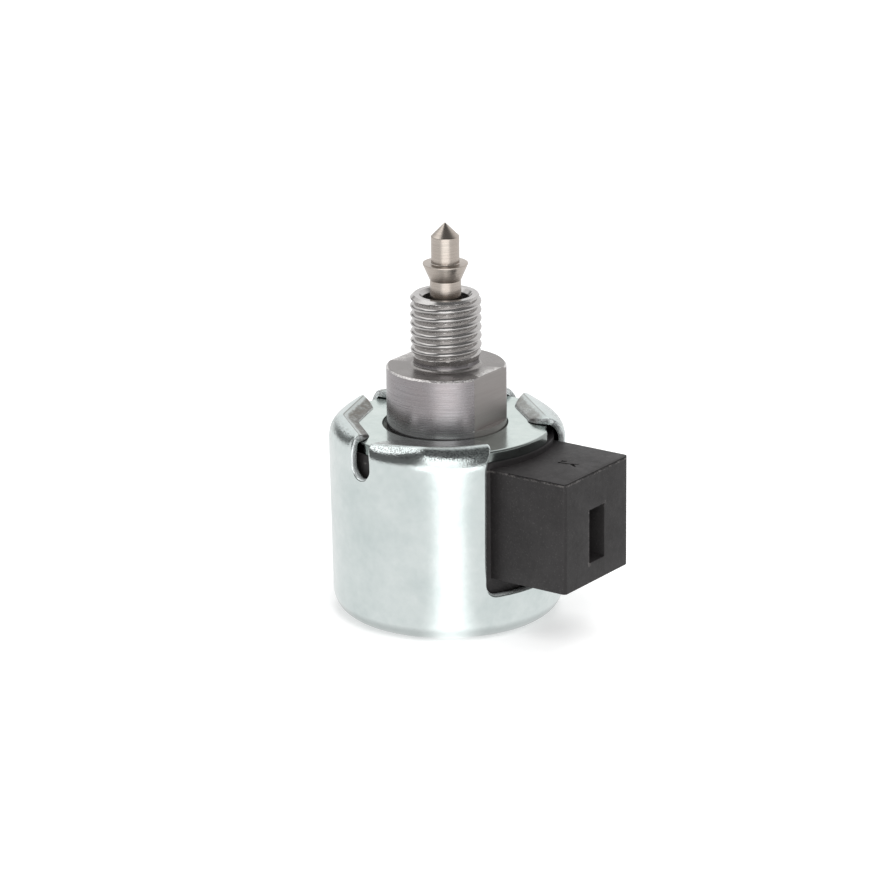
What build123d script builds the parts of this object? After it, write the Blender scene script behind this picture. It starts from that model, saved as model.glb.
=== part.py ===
"""A plunger solenoid with a threaded valve stub, a crimped steel can and a moulded side connector.

All sizes are in millimetres. The origin is the centre of the can's flat base.
+Z runs up along the threaded stub and +X points out through the connector block.
"""

import math
import os

from build123d import *

# Can, measured over its outer skin
CAN_BASE_RADIUS = 13.05
WALL_DRAFT = 0.25
CAN_WALL = 0.75
CAN_BASE_FILLET = 2.6
CREST_HEIGHT = 22.8
BEND_REACH = 2.0
BEND_RISE = 2.6
FLAP_REACH = 3.85
FLAP_EDGE_DROP = 0.55
FLAP_EDGE_THICKNESS = 0.3
FLAP_CHORD_ANGLES = (-162, -130, -79, -48, 51, 105, 145)

# Slits that part the rim into four crimped flaps, and the window, flared in at its top, for the connector
SLIT_ANGLES = (-100.2, 173.0, 80.0)
SLIT_WIDTH = 2.55
SLIT_DEPTH = 4.9
WINDOW_ANGLE = -2.0
WINDOW_LEFT_MARGIN = 1.015
WINDOW_RIGHT_MARGIN = 0.815
WINDOW_SILL = 1.7
WINDOW_CORNER = 1.3
WINDOW_FLAP_ANGLES = (-31.7, 26.5)
FLARE_START = 1.8
FLARE_END = 0.6
FLARE_WIDTH = 1.0

# Clearances between pieces
RUNNING_CLEARANCE = 0.05
STOP_GAP = 0.05
ASSEMBLY_CLEARANCE = 0.05
SEAT_CLEARANCE = 0.02
PLATE_CLEARANCE = 0.6
JACKET_CLEARANCE = 0.25
TAB_CLEARANCE = 0.1
CHAMFER = 0.2

# Top plate that the flaps hold down
PLATE_THICKNESS = 1.3
PLATE_HOLE_CLEARANCE = 0.4
PLATE_EDGE_ROUND = 0.25

# Valve body: barrel with two wrench flats, undercut and threaded stub
BARREL_RADIUS = 6.75
BARREL_HEIGHT = 6.8
BARREL_CHAMFER = 0.25
ACROSS_FLATS = 12.0
FLAT_START = 0.7
BODY_FLANGE_STEP = 1.45
BODY_FLANGE_THICKNESS = 1.25
UNDERCUT_HEIGHT = 0.8
UNDERCUT_FOOT = 0.45
THREAD_RADIUS = 4.0
THREAD_LEAD_IN = 0.35
STUB_LENGTH = 8.2
STUB_TIP_CHAMFER = 0.4
STUB_BORE_RADIUS = 2.6

# Needle: lower shank, collar, upper shank and right-angled cone tip
SHANK_RADIUS = 1.75
NECK_LENGTH = 1.6
COLLAR_STEP = 0.78
COLLAR_CONE_HEIGHT = 1.8
COLLAR_RIM = 0.15
TIP_SHANK_RADIUS = 1.58
TIP_LENGTH = 4.75
APEX_FLAT_RADIUS = 0.08

# Magnetic core and the moving plunger
STROKE = 2.5
PLUNGER_RADIUS = 4.5
TUBE_WALL = 0.4
POLE_FLANGE_RADIUS = 6.8
POLE_FLANGE_THICKNESS = 1.35
POLE_HEIGHT = 2.9
SHIM_THICKNESS = 0.1
NEEDLE_FLOOR = 0.75

# Return spring in its two facing pockets
SPRING_WIRE_RADIUS = 0.2
SPRING_MEAN_RADIUS = 1.5
SPRING_TURNS = 5
SPRING_POCKET_MARGIN = 0.25
POLE_POCKET_DEPTH = 2.7
PLUNGER_POCKET_DEPTH = 3.0

# Guide bush pressed in the valve body, and the two square-cut sealing rings in their grooves
BUSH_LENGTH = 5.0
BUSH_FLOOR = 0.85
PASSAGE_MARGIN = 0.35
RING_SECTION = 0.74
GROOVE_WIDTH = 0.9
GROOVE_DEPTH = 0.75
LOWER_GROOVE_RISE = 1.3
UPPER_GROOVE_FALL = 1.35
NECK_LENGTH_BELOW_GROOVE = 1.5

# Coil: bobbin, winding and tape
BOBBIN_TUBE_WALL = 0.8
BOBBIN_FLANGE_THICKNESS = 1.0
BOBBIN_FLANGE_STEP = 0.95
TAPE_THICKNESS = 0.2

# Moulded jacket and connector block
JACKET_WALL = 1.1
JACKET_CHAMFER = 0.5
JACKET_LIP = 0.5
BLOCK_REACH = 6.9
BLOCK_WIDTH = 12.57
BLOCK_HEIGHT = 12.8
BLOCK_BELOW_PLATE = 2.0
BLOCK_CORNER_ROUND = 0.3
SLOT_WIDTH = 3.0
SLOT_HEIGHT = 6.2
SLOT_RISE = 5.4
SLOT_DEPTH = 7.4

# Blade terminal of the 4.8 mm series, its solder tail, and the two coil leads
BLADE_WIDTH = 4.8
BLADE_THICKNESS = 0.8
BLADE_SET_BACK = 1.6
BLADE_TIP_CHAMFER = 0.9
BLADE_HOLE_RADIUS = 0.7
BLADE_HOLE_FROM_TIP = 3.0
TAIL_WIDTH = 2.0
TAIL_GAP = 0.48
TAIL_POCKET_WIDTH = 2.0
TAIL_POCKET_HEIGHT = 2.4
LEAD_RADIUS = 0.2
LEAD_GAP = 0.02
LEAD_SET_BACK = 0.6

# Ground tab that ties the coil's other end to the can
TAB_WIDTH = 3.0
TAB_THICKNESS = 0.3
TAB_HEIGHT = 3.2
TAB_DEPTH = 1.15
TAB_NOTCH_MARGIN = 0.2

# Conical spring washer under the coil
WASHER_INNER_MARGIN = 0.8
WASHER_OVERHANG = 1.05
WASHER_THICKNESS = 0.3
WASHER_RISE = 0.8

# Radii that follow, from the can inward
CAN_TOP_RADIUS = CAN_BASE_RADIUS + WALL_DRAFT
CAN_FLAT_RADIUS = CAN_BASE_RADIUS - CAN_BASE_FILLET
CREASE_RADIUS = CAN_TOP_RADIUS - BEND_REACH
FLAP_INNER_RADIUS = CAN_TOP_RADIUS - FLAP_REACH
PLATE_RADIUS = CAN_TOP_RADIUS - CAN_WALL - PLATE_CLEARANCE
JACKET_RADIUS = CAN_BASE_RADIUS - CAN_WALL - JACKET_CLEARANCE
JACKET_FLANGE_POCKET = JACKET_RADIUS - JACKET_WALL
BOBBIN_FLANGE_RADIUS = JACKET_FLANGE_POCKET - ASSEMBLY_CLEARANCE
WINDING_RADIUS = BOBBIN_FLANGE_RADIUS - BOBBIN_FLANGE_STEP
TAPE_INNER_RADIUS = WINDING_RADIUS + SEAT_CLEARANCE
TAPE_OUTER_RADIUS = TAPE_INNER_RADIUS + TAPE_THICKNESS
JACKET_CORE_RADIUS = TAPE_OUTER_RADIUS + ASSEMBLY_CLEARANCE
BLOCK_FACE = CAN_TOP_RADIUS + BLOCK_REACH
SLOT_BACK = BLOCK_FACE - SLOT_DEPTH
BLADE_TIP = BLOCK_FACE - BLADE_SET_BACK
TAIL_START = JACKET_CORE_RADIUS + TAIL_GAP
FINISH_LEAD_END = SLOT_BACK - LEAD_SET_BACK
FINISH_LEAD_SIDE = BLADE_THICKNESS / 2 + LEAD_RADIUS + LEAD_GAP
TAB_OUTER = CAN_BASE_RADIUS - CAN_WALL - TAB_CLEARANCE
TAB_INNER = TAB_OUTER - TAB_DEPTH
START_LEAD_OUTER = TAB_OUTER - TAB_THICKNESS - 2 * LEAD_RADIUS
WASHER_OUTER_RADIUS = CAN_FLAT_RADIUS + WASHER_OVERHANG

# Radii that follow, from the plunger outward
TUBE_INNER_RADIUS = PLUNGER_RADIUS + RUNNING_CLEARANCE
TUBE_OUTER_RADIUS = TUBE_INNER_RADIUS + TUBE_WALL
GROOVE_RADIUS = PLUNGER_RADIUS - GROOVE_DEPTH
RING_MIDDLE_RADIUS = TUBE_INNER_RADIUS - SEAT_CLEARANCE - RING_SECTION / 2
BOBBIN_BORE_RADIUS = TUBE_OUTER_RADIUS + ASSEMBLY_CLEARANCE
BOBBIN_TUBE_RADIUS = BOBBIN_BORE_RADIUS + BOBBIN_TUBE_WALL
START_LEAD_INNER = BOBBIN_TUBE_RADIUS + LEAD_RADIUS
SPRING_POCKET_RADIUS = SPRING_MEAN_RADIUS + SPRING_WIRE_RADIUS + SPRING_POCKET_MARGIN
JACKET_LOWER_OPENING = POLE_FLANGE_RADIUS + JACKET_LIP
WASHER_INNER_RADIUS = POLE_FLANGE_RADIUS + WASHER_INNER_MARGIN
PLATE_HOLE_RADIUS = BARREL_RADIUS + PLATE_HOLE_CLEARANCE
BODY_FLANGE_RADIUS = PLATE_HOLE_RADIUS + BODY_FLANGE_STEP
JACKET_UPPER_OPENING = BODY_FLANGE_RADIUS + 3 * ASSEMBLY_CLEARANCE
BODY_PASSAGE_RADIUS = SHANK_RADIUS + PASSAGE_MARGIN
UNDERCUT_RADIUS = THREAD_RADIUS - THREAD_LEAD_IN
STUB_TIP_RADIUS = THREAD_RADIUS - STUB_TIP_CHAMFER
STUB_MOUTH_RADIUS = STUB_BORE_RADIUS + CHAMFER
COLLAR_RADIUS = SHANK_RADIUS + COLLAR_STEP

# Heights that follow, down from the can's crest
BEND_START = CREST_HEIGHT - BEND_RISE
FLAP_EDGE_TOP = CREST_HEIGHT - FLAP_EDGE_DROP
SLIT_BOTTOM = CREST_HEIGHT - SLIT_DEPTH
FLARE_BOTTOM = CREST_HEIGHT - FLARE_START
FLARE_TOP = CREST_HEIGHT - FLARE_END
PLATE_TOP = FLAP_EDGE_TOP - FLAP_EDGE_THICKNESS - ASSEMBLY_CLEARANCE
PLATE_BOTTOM = PLATE_TOP - PLATE_THICKNESS
BODY_FLANGE_BOTTOM = PLATE_BOTTOM - BODY_FLANGE_THICKNESS
BUSH_BOTTOM = BODY_FLANGE_BOTTOM + BUSH_FLOOR
TUBE_TOP = BODY_FLANGE_BOTTOM - ASSEMBLY_CLEARANCE
BOBBIN_TOP = BODY_FLANGE_BOTTOM - ASSEMBLY_CLEARANCE
UPPER_GROOVE_MIDDLE = BODY_FLANGE_BOTTOM - UPPER_GROOVE_FALL
NECK_BOTTOM = UPPER_GROOVE_MIDDLE - NECK_LENGTH_BELOW_GROOVE
PLUNGER_TOP = NECK_BOTTOM - STOP_GAP - ASSEMBLY_CLEARANCE
BLOCK_TOP = PLATE_TOP - BLOCK_BELOW_PLATE
BLOCK_BOTTOM = BLOCK_TOP - BLOCK_HEIGHT
WINDOW_BOTTOM = BLOCK_BOTTOM - WINDOW_SILL
SLOT_MIDDLE = BLOCK_BOTTOM + SLOT_RISE

# Heights that follow, up from the plate
FLAT_BOTTOM = PLATE_TOP + FLAT_START
BARREL_TOP = PLATE_TOP + BARREL_HEIGHT
THREAD_BOTTOM = BARREL_TOP + UNDERCUT_HEIGHT
STUB_TOP = BARREL_TOP + STUB_LENGTH
NECK_HEIGHT = STUB_TOP + NECK_LENGTH
COLLAR_CONE_TOP = NECK_HEIGHT + COLLAR_CONE_HEIGHT
APEX_HEIGHT = COLLAR_CONE_TOP + TIP_LENGTH

# Heights that follow, up from the can's floor
WASHER_FOOT = CAN_WALL + ASSEMBLY_CLEARANCE
JACKET_BOTTOM = WASHER_FOOT + WASHER_RISE + WASHER_THICKNESS + ASSEMBLY_CLEARANCE
POLE_FLANGE_TOP = CAN_WALL + POLE_FLANGE_THICKNESS
TUBE_BOTTOM = POLE_FLANGE_TOP + ASSEMBLY_CLEARANCE
LOWER_GROOVE_MIDDLE = POLE_FLANGE_TOP + LOWER_GROOVE_RISE
POLE_TOP = POLE_FLANGE_TOP + POLE_HEIGHT
PLUNGER_BOTTOM = POLE_TOP + SHIM_THICKNESS + STROKE + STOP_GAP
SPRING_BOTTOM = POLE_TOP - POLE_POCKET_DEPTH
SPRING_TOP = PLUNGER_BOTTOM + PLUNGER_POCKET_DEPTH
NEEDLE_FOOT = SPRING_TOP + NEEDLE_FLOOR
BOBBIN_BOTTOM = POLE_FLANGE_TOP + 2 * ASSEMBLY_CLEARANCE
TAB_BOTTOM = BOBBIN_BOTTOM + 2 * ASSEMBLY_CLEARANCE
WINDING_BOTTOM = BOBBIN_BOTTOM + BOBBIN_FLANGE_THICKNESS + ASSEMBLY_CLEARANCE
WINDING_TOP = BOBBIN_TOP - BOBBIN_FLANGE_THICKNESS - ASSEMBLY_CLEARANCE
START_LEAD_HEIGHT = TAB_BOTTOM + TAB_THICKNESS + LEAD_RADIUS + LEAD_GAP


def outline(*points):
    """Fills the closed outline through the points in the sketch being built."""
    Polygon(*points, align=None)


def tube_section(inner, outer, bottom, top):
    """Fills a rectangle from the inner to the outer radius, between two heights."""
    outline((inner, bottom), (outer, bottom), (outer, top), (inner, top))


def on_chords(angles, distance):
    """Corners of the outline whose sides lie at a distance from the axis, squarely across these angles."""
    corners = []
    for before, after in zip(angles, angles[1:] + angles[:1]):
        half_gap = math.radians((after - before) % 360 / 2)
        middle = math.radians(before) + half_gap
        reach = distance / math.cos(half_gap)
        corners.append((reach * math.cos(middle), reach * math.sin(middle)))
    return corners


def facing(angle):
    """An upright plane on the axis that looks outward at an angle, its local y along +Z."""
    turn = math.radians(angle)
    outward = (math.cos(turn), math.sin(turn), 0)
    sideways = (-math.sin(turn), math.cos(turn), 0)
    return Plane(origin=(0, 0, 0), x_dir=sideways, z_dir=outward)


# Steel can with a plain base, a drafted wall and a rim folded over the top plate along straight chords
with BuildPart() as can_shell:
    with BuildSketch(Plane.XZ):
        with BuildLine():
            Line((0, 0), (CAN_FLAT_RADIUS, 0))
            CenterArc((CAN_FLAT_RADIUS, CAN_BASE_FILLET), CAN_BASE_FILLET, -90, 90)
            Line((CAN_BASE_RADIUS, CAN_BASE_FILLET), (CAN_TOP_RADIUS, BEND_START))
            EllipticalCenterArc((CREASE_RADIUS, BEND_START), BEND_REACH, BEND_RISE, 0, arc_size=90)
            Line((CREASE_RADIUS, CREST_HEIGHT), (FLAP_INNER_RADIUS, FLAP_EDGE_TOP))
            Line((FLAP_INNER_RADIUS, FLAP_EDGE_TOP), (FLAP_INNER_RADIUS, FLAP_EDGE_TOP - FLAP_EDGE_THICKNESS))
            Line(
                (FLAP_INNER_RADIUS, FLAP_EDGE_TOP - FLAP_EDGE_THICKNESS),
                (CREASE_RADIUS, CREST_HEIGHT - CAN_WALL),
            )
            EllipticalCenterArc(
                (CREASE_RADIUS, BEND_START), BEND_REACH - CAN_WALL, BEND_RISE - CAN_WALL, 0, arc_size=90
            )
            Line((CAN_TOP_RADIUS - CAN_WALL, BEND_START), (CAN_BASE_RADIUS - CAN_WALL, CAN_BASE_FILLET))
            CenterArc((CAN_FLAT_RADIUS, CAN_BASE_FILLET), CAN_BASE_FILLET - CAN_WALL, 0, -90)
            Line((CAN_FLAT_RADIUS, CAN_WALL), (0, CAN_WALL))
            Line((0, CAN_WALL), (0, 0))
        make_face()
    revolve(axis=Axis.Z)
    for slit_angle in SLIT_ANGLES:
        with BuildSketch(facing(slit_angle)):
            round_end = SLIT_BOTTOM + SLIT_WIDTH / 2
            outline(
                (-SLIT_WIDTH / 2, round_end),
                (SLIT_WIDTH / 2, round_end),
                (SLIT_WIDTH / 2, CREST_HEIGHT + 1),
                (-SLIT_WIDTH / 2, CREST_HEIGHT + 1),
            )
            with Locations((0, round_end)):
                Circle(SLIT_WIDTH / 2)
        extrude(amount=CAN_TOP_RADIUS + 1, mode=Mode.SUBTRACT)
    with BuildSketch(facing(WINDOW_ANGLE)) as window:
        window_left = BLOCK_WIDTH / 2 + WINDOW_LEFT_MARGIN
        window_right = BLOCK_WIDTH / 2 + WINDOW_RIGHT_MARGIN
        outline(
            (-window_left, WINDOW_BOTTOM),
            (window_right, WINDOW_BOTTOM),
            (window_right, FLARE_BOTTOM),
            (window_right - FLARE_WIDTH, FLARE_TOP),
            (-window_left + FLARE_WIDTH, FLARE_TOP),
            (-window_left, FLARE_BOTTOM),
        )
        fillet(window.vertices().group_by(Axis.Z)[0], WINDOW_CORNER)
    extrude(amount=CAN_TOP_RADIUS + 1, mode=Mode.SUBTRACT)
    with BuildSketch(Plane.XY.offset(FLARE_BOTTOM)):
        reach = 1.5 * CAN_TOP_RADIUS
        corners = [
            (reach * math.cos(math.radians(angle)), reach * math.sin(math.radians(angle)))
            for angle in WINDOW_FLAP_ANGLES
        ]
        outline((0, 0), *corners)
    extrude(amount=CREST_HEIGHT + 1 - FLARE_BOTTOM, mode=Mode.SUBTRACT)
    with BuildSketch(Plane.XY.offset(PLATE_TOP)):
        outline(*on_chords(FLAP_CHORD_ANGLES, FLAP_INNER_RADIUS))
    extrude(amount=CREST_HEIGHT + 1 - PLATE_TOP, mode=Mode.SUBTRACT)


# Top plate: a thick steel washer with a rounded upper edge
with BuildPart() as top_plate:
    with BuildSketch(Plane.XY.offset(PLATE_BOTTOM)):
        Circle(PLATE_RADIUS)
        Circle(PLATE_HOLE_RADIUS, mode=Mode.SUBTRACT)
    extrude(amount=PLATE_THICKNESS)
    upper_edges = top_plate.edges().filter_by(GeomType.CIRCLE).group_by(Axis.Z)[-1]
    fillet(upper_edges.sort_by(SortBy.RADIUS)[-1], PLATE_EDGE_ROUND)


# Valve body: neck in the guide tube, flange under the plate, barrel, undercut and stub
with BuildPart() as valve_body:
    with BuildSketch(Plane.XZ):
        outline(
            (BODY_PASSAGE_RADIUS, NECK_BOTTOM),
            (PLUNGER_RADIUS - CHAMFER, NECK_BOTTOM),
            (PLUNGER_RADIUS, NECK_BOTTOM + CHAMFER),
            (PLUNGER_RADIUS, UPPER_GROOVE_MIDDLE - GROOVE_WIDTH / 2),
            (GROOVE_RADIUS, UPPER_GROOVE_MIDDLE - GROOVE_WIDTH / 2),
            (GROOVE_RADIUS, UPPER_GROOVE_MIDDLE + GROOVE_WIDTH / 2),
            (PLUNGER_RADIUS, UPPER_GROOVE_MIDDLE + GROOVE_WIDTH / 2),
            (PLUNGER_RADIUS, BODY_FLANGE_BOTTOM),
            (BODY_FLANGE_RADIUS, BODY_FLANGE_BOTTOM),
            (BODY_FLANGE_RADIUS, PLATE_BOTTOM),
            (BARREL_RADIUS, PLATE_BOTTOM),
            (BARREL_RADIUS, BARREL_TOP - BARREL_CHAMFER),
            (BARREL_RADIUS - BARREL_CHAMFER, BARREL_TOP),
            (UNDERCUT_RADIUS + UNDERCUT_FOOT, BARREL_TOP),
            (UNDERCUT_RADIUS, BARREL_TOP + UNDERCUT_FOOT),
            (UNDERCUT_RADIUS, THREAD_BOTTOM),
            (THREAD_RADIUS, THREAD_BOTTOM + THREAD_LEAD_IN),
            (THREAD_RADIUS, STUB_TOP - STUB_TIP_CHAMFER),
            (STUB_TIP_RADIUS, STUB_TOP),
            (STUB_MOUTH_RADIUS, STUB_TOP),
            (STUB_BORE_RADIUS, STUB_TOP - CHAMFER),
            (STUB_BORE_RADIUS, BUSH_BOTTOM),
            (BODY_PASSAGE_RADIUS, BUSH_BOTTOM),
        )
    revolve(axis=Axis.Z)
    with BuildSketch(Plane.XY.offset(FLAT_BOTTOM)):
        cut = BARREL_RADIUS
        with Locations((ACROSS_FLATS / 2 + cut / 2, 0), (-ACROSS_FLATS / 2 - cut / 2, 0)):
            Rectangle(cut, 3 * cut)
    extrude(amount=BARREL_TOP + CHAMFER - FLAT_BOTTOM, mode=Mode.SUBTRACT)


# Guide bush pressed in the valve body's bore
with BuildPart() as guide_bush:
    with BuildSketch(Plane.XZ):
        bush_bore = SHANK_RADIUS + RUNNING_CLEARANCE
        outline(
            (bush_bore + CHAMFER, BUSH_BOTTOM),
            (STUB_BORE_RADIUS - CHAMFER, BUSH_BOTTOM),
            (STUB_BORE_RADIUS, BUSH_BOTTOM + CHAMFER),
            (STUB_BORE_RADIUS, BUSH_BOTTOM + BUSH_LENGTH - CHAMFER),
            (STUB_BORE_RADIUS - CHAMFER, BUSH_BOTTOM + BUSH_LENGTH),
            (bush_bore + CHAMFER, BUSH_BOTTOM + BUSH_LENGTH),
            (bush_bore, BUSH_BOTTOM + BUSH_LENGTH - CHAMFER),
            (bush_bore, BUSH_BOTTOM + CHAMFER),
        )
    revolve(axis=Axis.Z)


# Thin non-magnetic tube that guides the plunger through the coil
with BuildPart() as guide_tube:
    with BuildSketch(Plane.XZ):
        tube_section(TUBE_INNER_RADIUS, TUBE_OUTER_RADIUS, TUBE_BOTTOM, TUBE_TOP)
    revolve(axis=Axis.Z)


# Fixed pole core on the can's floor, with the spring pocket and a ring groove
with BuildPart() as pole_core:
    with BuildSketch(Plane.XZ):
        outline(
            (0, CAN_WALL),
            (POLE_FLANGE_RADIUS, CAN_WALL),
            (POLE_FLANGE_RADIUS, POLE_FLANGE_TOP),
            (PLUNGER_RADIUS, POLE_FLANGE_TOP),
            (PLUNGER_RADIUS, LOWER_GROOVE_MIDDLE - GROOVE_WIDTH / 2),
            (GROOVE_RADIUS, LOWER_GROOVE_MIDDLE - GROOVE_WIDTH / 2),
            (GROOVE_RADIUS, LOWER_GROOVE_MIDDLE + GROOVE_WIDTH / 2),
            (PLUNGER_RADIUS, LOWER_GROOVE_MIDDLE + GROOVE_WIDTH / 2),
            (PLUNGER_RADIUS, POLE_TOP - CHAMFER),
            (PLUNGER_RADIUS - CHAMFER, POLE_TOP),
            (SPRING_POCKET_RADIUS, POLE_TOP),
            (SPRING_POCKET_RADIUS, SPRING_BOTTOM),
            (0, SPRING_BOTTOM),
        )
    revolve(axis=Axis.Z)


# Thin brass shim that keeps the plunger from sticking to the pole
with BuildPart() as pole_shim:
    with BuildSketch(Plane.XZ):
        tube_section(SPRING_POCKET_RADIUS, PLUNGER_RADIUS - CHAMFER, POLE_TOP, POLE_TOP + SHIM_THICKNESS)
    revolve(axis=Axis.Z)


# Moving plunger with the needle's seat above and the spring pocket below
with BuildPart() as plunger:
    with BuildSketch(Plane.XZ):
        outline(
            (SPRING_POCKET_RADIUS, PLUNGER_BOTTOM),
            (PLUNGER_RADIUS - CHAMFER, PLUNGER_BOTTOM),
            (PLUNGER_RADIUS, PLUNGER_BOTTOM + CHAMFER),
            (PLUNGER_RADIUS, PLUNGER_TOP - CHAMFER),
            (PLUNGER_RADIUS - CHAMFER, PLUNGER_TOP),
            (SHANK_RADIUS, PLUNGER_TOP),
            (SHANK_RADIUS, NEEDLE_FOOT),
            (0, NEEDLE_FOOT),
            (0, SPRING_TOP),
            (SPRING_POCKET_RADIUS, SPRING_TOP),
        )
    revolve(axis=Axis.Z)


# Needle pressed in the plunger, its collar and cone tip standing out of the stub
with BuildPart() as needle:
    with BuildSketch(Plane.XZ):
        outline(
            (0, NEEDLE_FOOT),
            (SHANK_RADIUS - CHAMFER, NEEDLE_FOOT),
            (SHANK_RADIUS, NEEDLE_FOOT + CHAMFER),
            (SHANK_RADIUS, NECK_HEIGHT),
            (COLLAR_RADIUS, COLLAR_CONE_TOP),
            (COLLAR_RADIUS, COLLAR_CONE_TOP + COLLAR_RIM),
            (TIP_SHANK_RADIUS, COLLAR_CONE_TOP + COLLAR_RIM),
            (TIP_SHANK_RADIUS, APEX_HEIGHT - TIP_SHANK_RADIUS + APEX_FLAT_RADIUS),
            (APEX_FLAT_RADIUS, APEX_HEIGHT),
            (0, APEX_HEIGHT),
        )
    revolve(axis=Axis.Z)


# Return spring, a round wire helix between the two pockets
with BuildPart() as return_spring:
    spring_foot = SPRING_BOTTOM + SPRING_WIRE_RADIUS
    spring_rise = SPRING_TOP - SPRING_BOTTOM - 2 * SPRING_WIRE_RADIUS
    with BuildLine():
        coil_path = Helix(
            pitch=spring_rise / SPRING_TURNS,
            height=spring_rise,
            radius=SPRING_MEAN_RADIUS,
            center=(0, 0, spring_foot),
        )
    with BuildSketch(Plane(origin=coil_path @ 0, z_dir=coil_path % 0)):
        Circle(SPRING_WIRE_RADIUS)
    sweep()


# Square-cut sealing ring on the valve body's neck
with BuildPart() as upper_seal:
    with BuildSketch(Plane.XZ):
        with Locations((RING_MIDDLE_RADIUS, UPPER_GROOVE_MIDDLE)):
            Rectangle(RING_SECTION, RING_SECTION)
    revolve(axis=Axis.Z)


# Square-cut sealing ring on the pole core
with BuildPart() as lower_seal:
    with BuildSketch(Plane.XZ):
        with Locations((RING_MIDDLE_RADIUS, LOWER_GROOVE_MIDDLE)):
            Rectangle(RING_SECTION, RING_SECTION)
    revolve(axis=Axis.Z)


# Bobbin with a groove in its lower flange for the coil's first lead
with BuildPart() as bobbin:
    with BuildSketch(Plane.XZ):
        outline(
            (BOBBIN_BORE_RADIUS, BOBBIN_BOTTOM),
            (BOBBIN_FLANGE_RADIUS, BOBBIN_BOTTOM),
            (BOBBIN_FLANGE_RADIUS, BOBBIN_BOTTOM + BOBBIN_FLANGE_THICKNESS),
            (BOBBIN_TUBE_RADIUS, BOBBIN_BOTTOM + BOBBIN_FLANGE_THICKNESS),
            (BOBBIN_TUBE_RADIUS, BOBBIN_TOP - BOBBIN_FLANGE_THICKNESS),
            (BOBBIN_FLANGE_RADIUS, BOBBIN_TOP - BOBBIN_FLANGE_THICKNESS),
            (BOBBIN_FLANGE_RADIUS, BOBBIN_TOP),
            (BOBBIN_BORE_RADIUS, BOBBIN_TOP),
        )
    revolve(axis=Axis.Z)
    with BuildSketch(Plane.XY.offset(START_LEAD_HEIGHT - LEAD_RADIUS - LEAD_GAP)):
        with Locations((-(BOBBIN_TUBE_RADIUS + BOBBIN_FLANGE_RADIUS + 1) / 2, 0)):
            Rectangle(BOBBIN_FLANGE_RADIUS + 1 - BOBBIN_TUBE_RADIUS, 4 * LEAD_RADIUS)
    extrude(amount=WINDING_BOTTOM - START_LEAD_HEIGHT + LEAD_RADIUS, mode=Mode.SUBTRACT)


# Copper winding, taken as one packed ring
with BuildPart() as coil_winding:
    with BuildSketch(Plane.XZ):
        tube_section(BOBBIN_TUBE_RADIUS + SEAT_CLEARANCE, WINDING_RADIUS, WINDING_BOTTOM, WINDING_TOP)
    revolve(axis=Axis.Z)


# Insulating tape round the winding
with BuildPart() as coil_tape:
    with BuildSketch(Plane.XZ):
        tube_section(TAPE_INNER_RADIUS, TAPE_OUTER_RADIUS, WINDING_BOTTOM, WINDING_TOP)
    revolve(axis=Axis.Z)


# Moulded jacket round the coil, in one piece with the connector block
with BuildPart() as connector_housing:
    with BuildSketch(Plane.XZ):
        outline(
            (0, JACKET_BOTTOM),
            (JACKET_RADIUS - JACKET_CHAMFER, JACKET_BOTTOM),
            (JACKET_RADIUS, JACKET_BOTTOM + JACKET_CHAMFER),
            (JACKET_RADIUS, PLATE_BOTTOM),
            (0, PLATE_BOTTOM),
        )
    revolve(axis=Axis.Z)
    with BuildSketch(Plane.XY.offset(BLOCK_BOTTOM)) as block:
        with Locations((BLOCK_FACE / 2, 0)):
            Rectangle(BLOCK_FACE, BLOCK_WIDTH)
        fillet(block.vertices().group_by(Axis.X)[-1], BLOCK_CORNER_ROUND)
    extrude(amount=BLOCK_TOP - BLOCK_BOTTOM)
    with BuildSketch(Plane.XZ):
        outline(
            (0, JACKET_BOTTOM),
            (JACKET_LOWER_OPENING, JACKET_BOTTOM),
            (JACKET_LOWER_OPENING, BOBBIN_BOTTOM - SEAT_CLEARANCE),
            (JACKET_FLANGE_POCKET, BOBBIN_BOTTOM - SEAT_CLEARANCE),
            (JACKET_FLANGE_POCKET, WINDING_BOTTOM),
            (JACKET_CORE_RADIUS, WINDING_BOTTOM),
            (JACKET_CORE_RADIUS, WINDING_TOP),
            (JACKET_FLANGE_POCKET, WINDING_TOP),
            (JACKET_FLANGE_POCKET, BOBBIN_TOP + SEAT_CLEARANCE),
            (JACKET_UPPER_OPENING, BOBBIN_TOP + SEAT_CLEARANCE),
            (JACKET_UPPER_OPENING, PLATE_BOTTOM),
            (0, PLATE_BOTTOM),
        )
    revolve(axis=Axis.Z, mode=Mode.SUBTRACT)
    with BuildSketch(facing(0).offset(SLOT_BACK)):
        with Locations((0, SLOT_MIDDLE)):
            Rectangle(SLOT_WIDTH, SLOT_HEIGHT)
    extrude(amount=BLOCK_FACE - SLOT_BACK, mode=Mode.SUBTRACT)
    with BuildSketch(facing(0).offset(TAIL_START - 1)):
        with Locations((0, SLOT_MIDDLE)):
            Rectangle(TAIL_POCKET_WIDTH, TAIL_POCKET_HEIGHT)
    extrude(amount=SLOT_BACK - TAIL_START + 1, mode=Mode.SUBTRACT)
    with BuildSketch(facing(180).offset(TAB_INNER - TAB_NOTCH_MARGIN)):
        notch_top = TAB_BOTTOM + TAB_HEIGHT + TAB_NOTCH_MARGIN
        with Locations((0, (JACKET_BOTTOM + notch_top) / 2)):
            Rectangle(TAB_WIDTH + 2 * TAB_NOTCH_MARGIN, notch_top - JACKET_BOTTOM)
    extrude(amount=2, mode=Mode.SUBTRACT)


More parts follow.
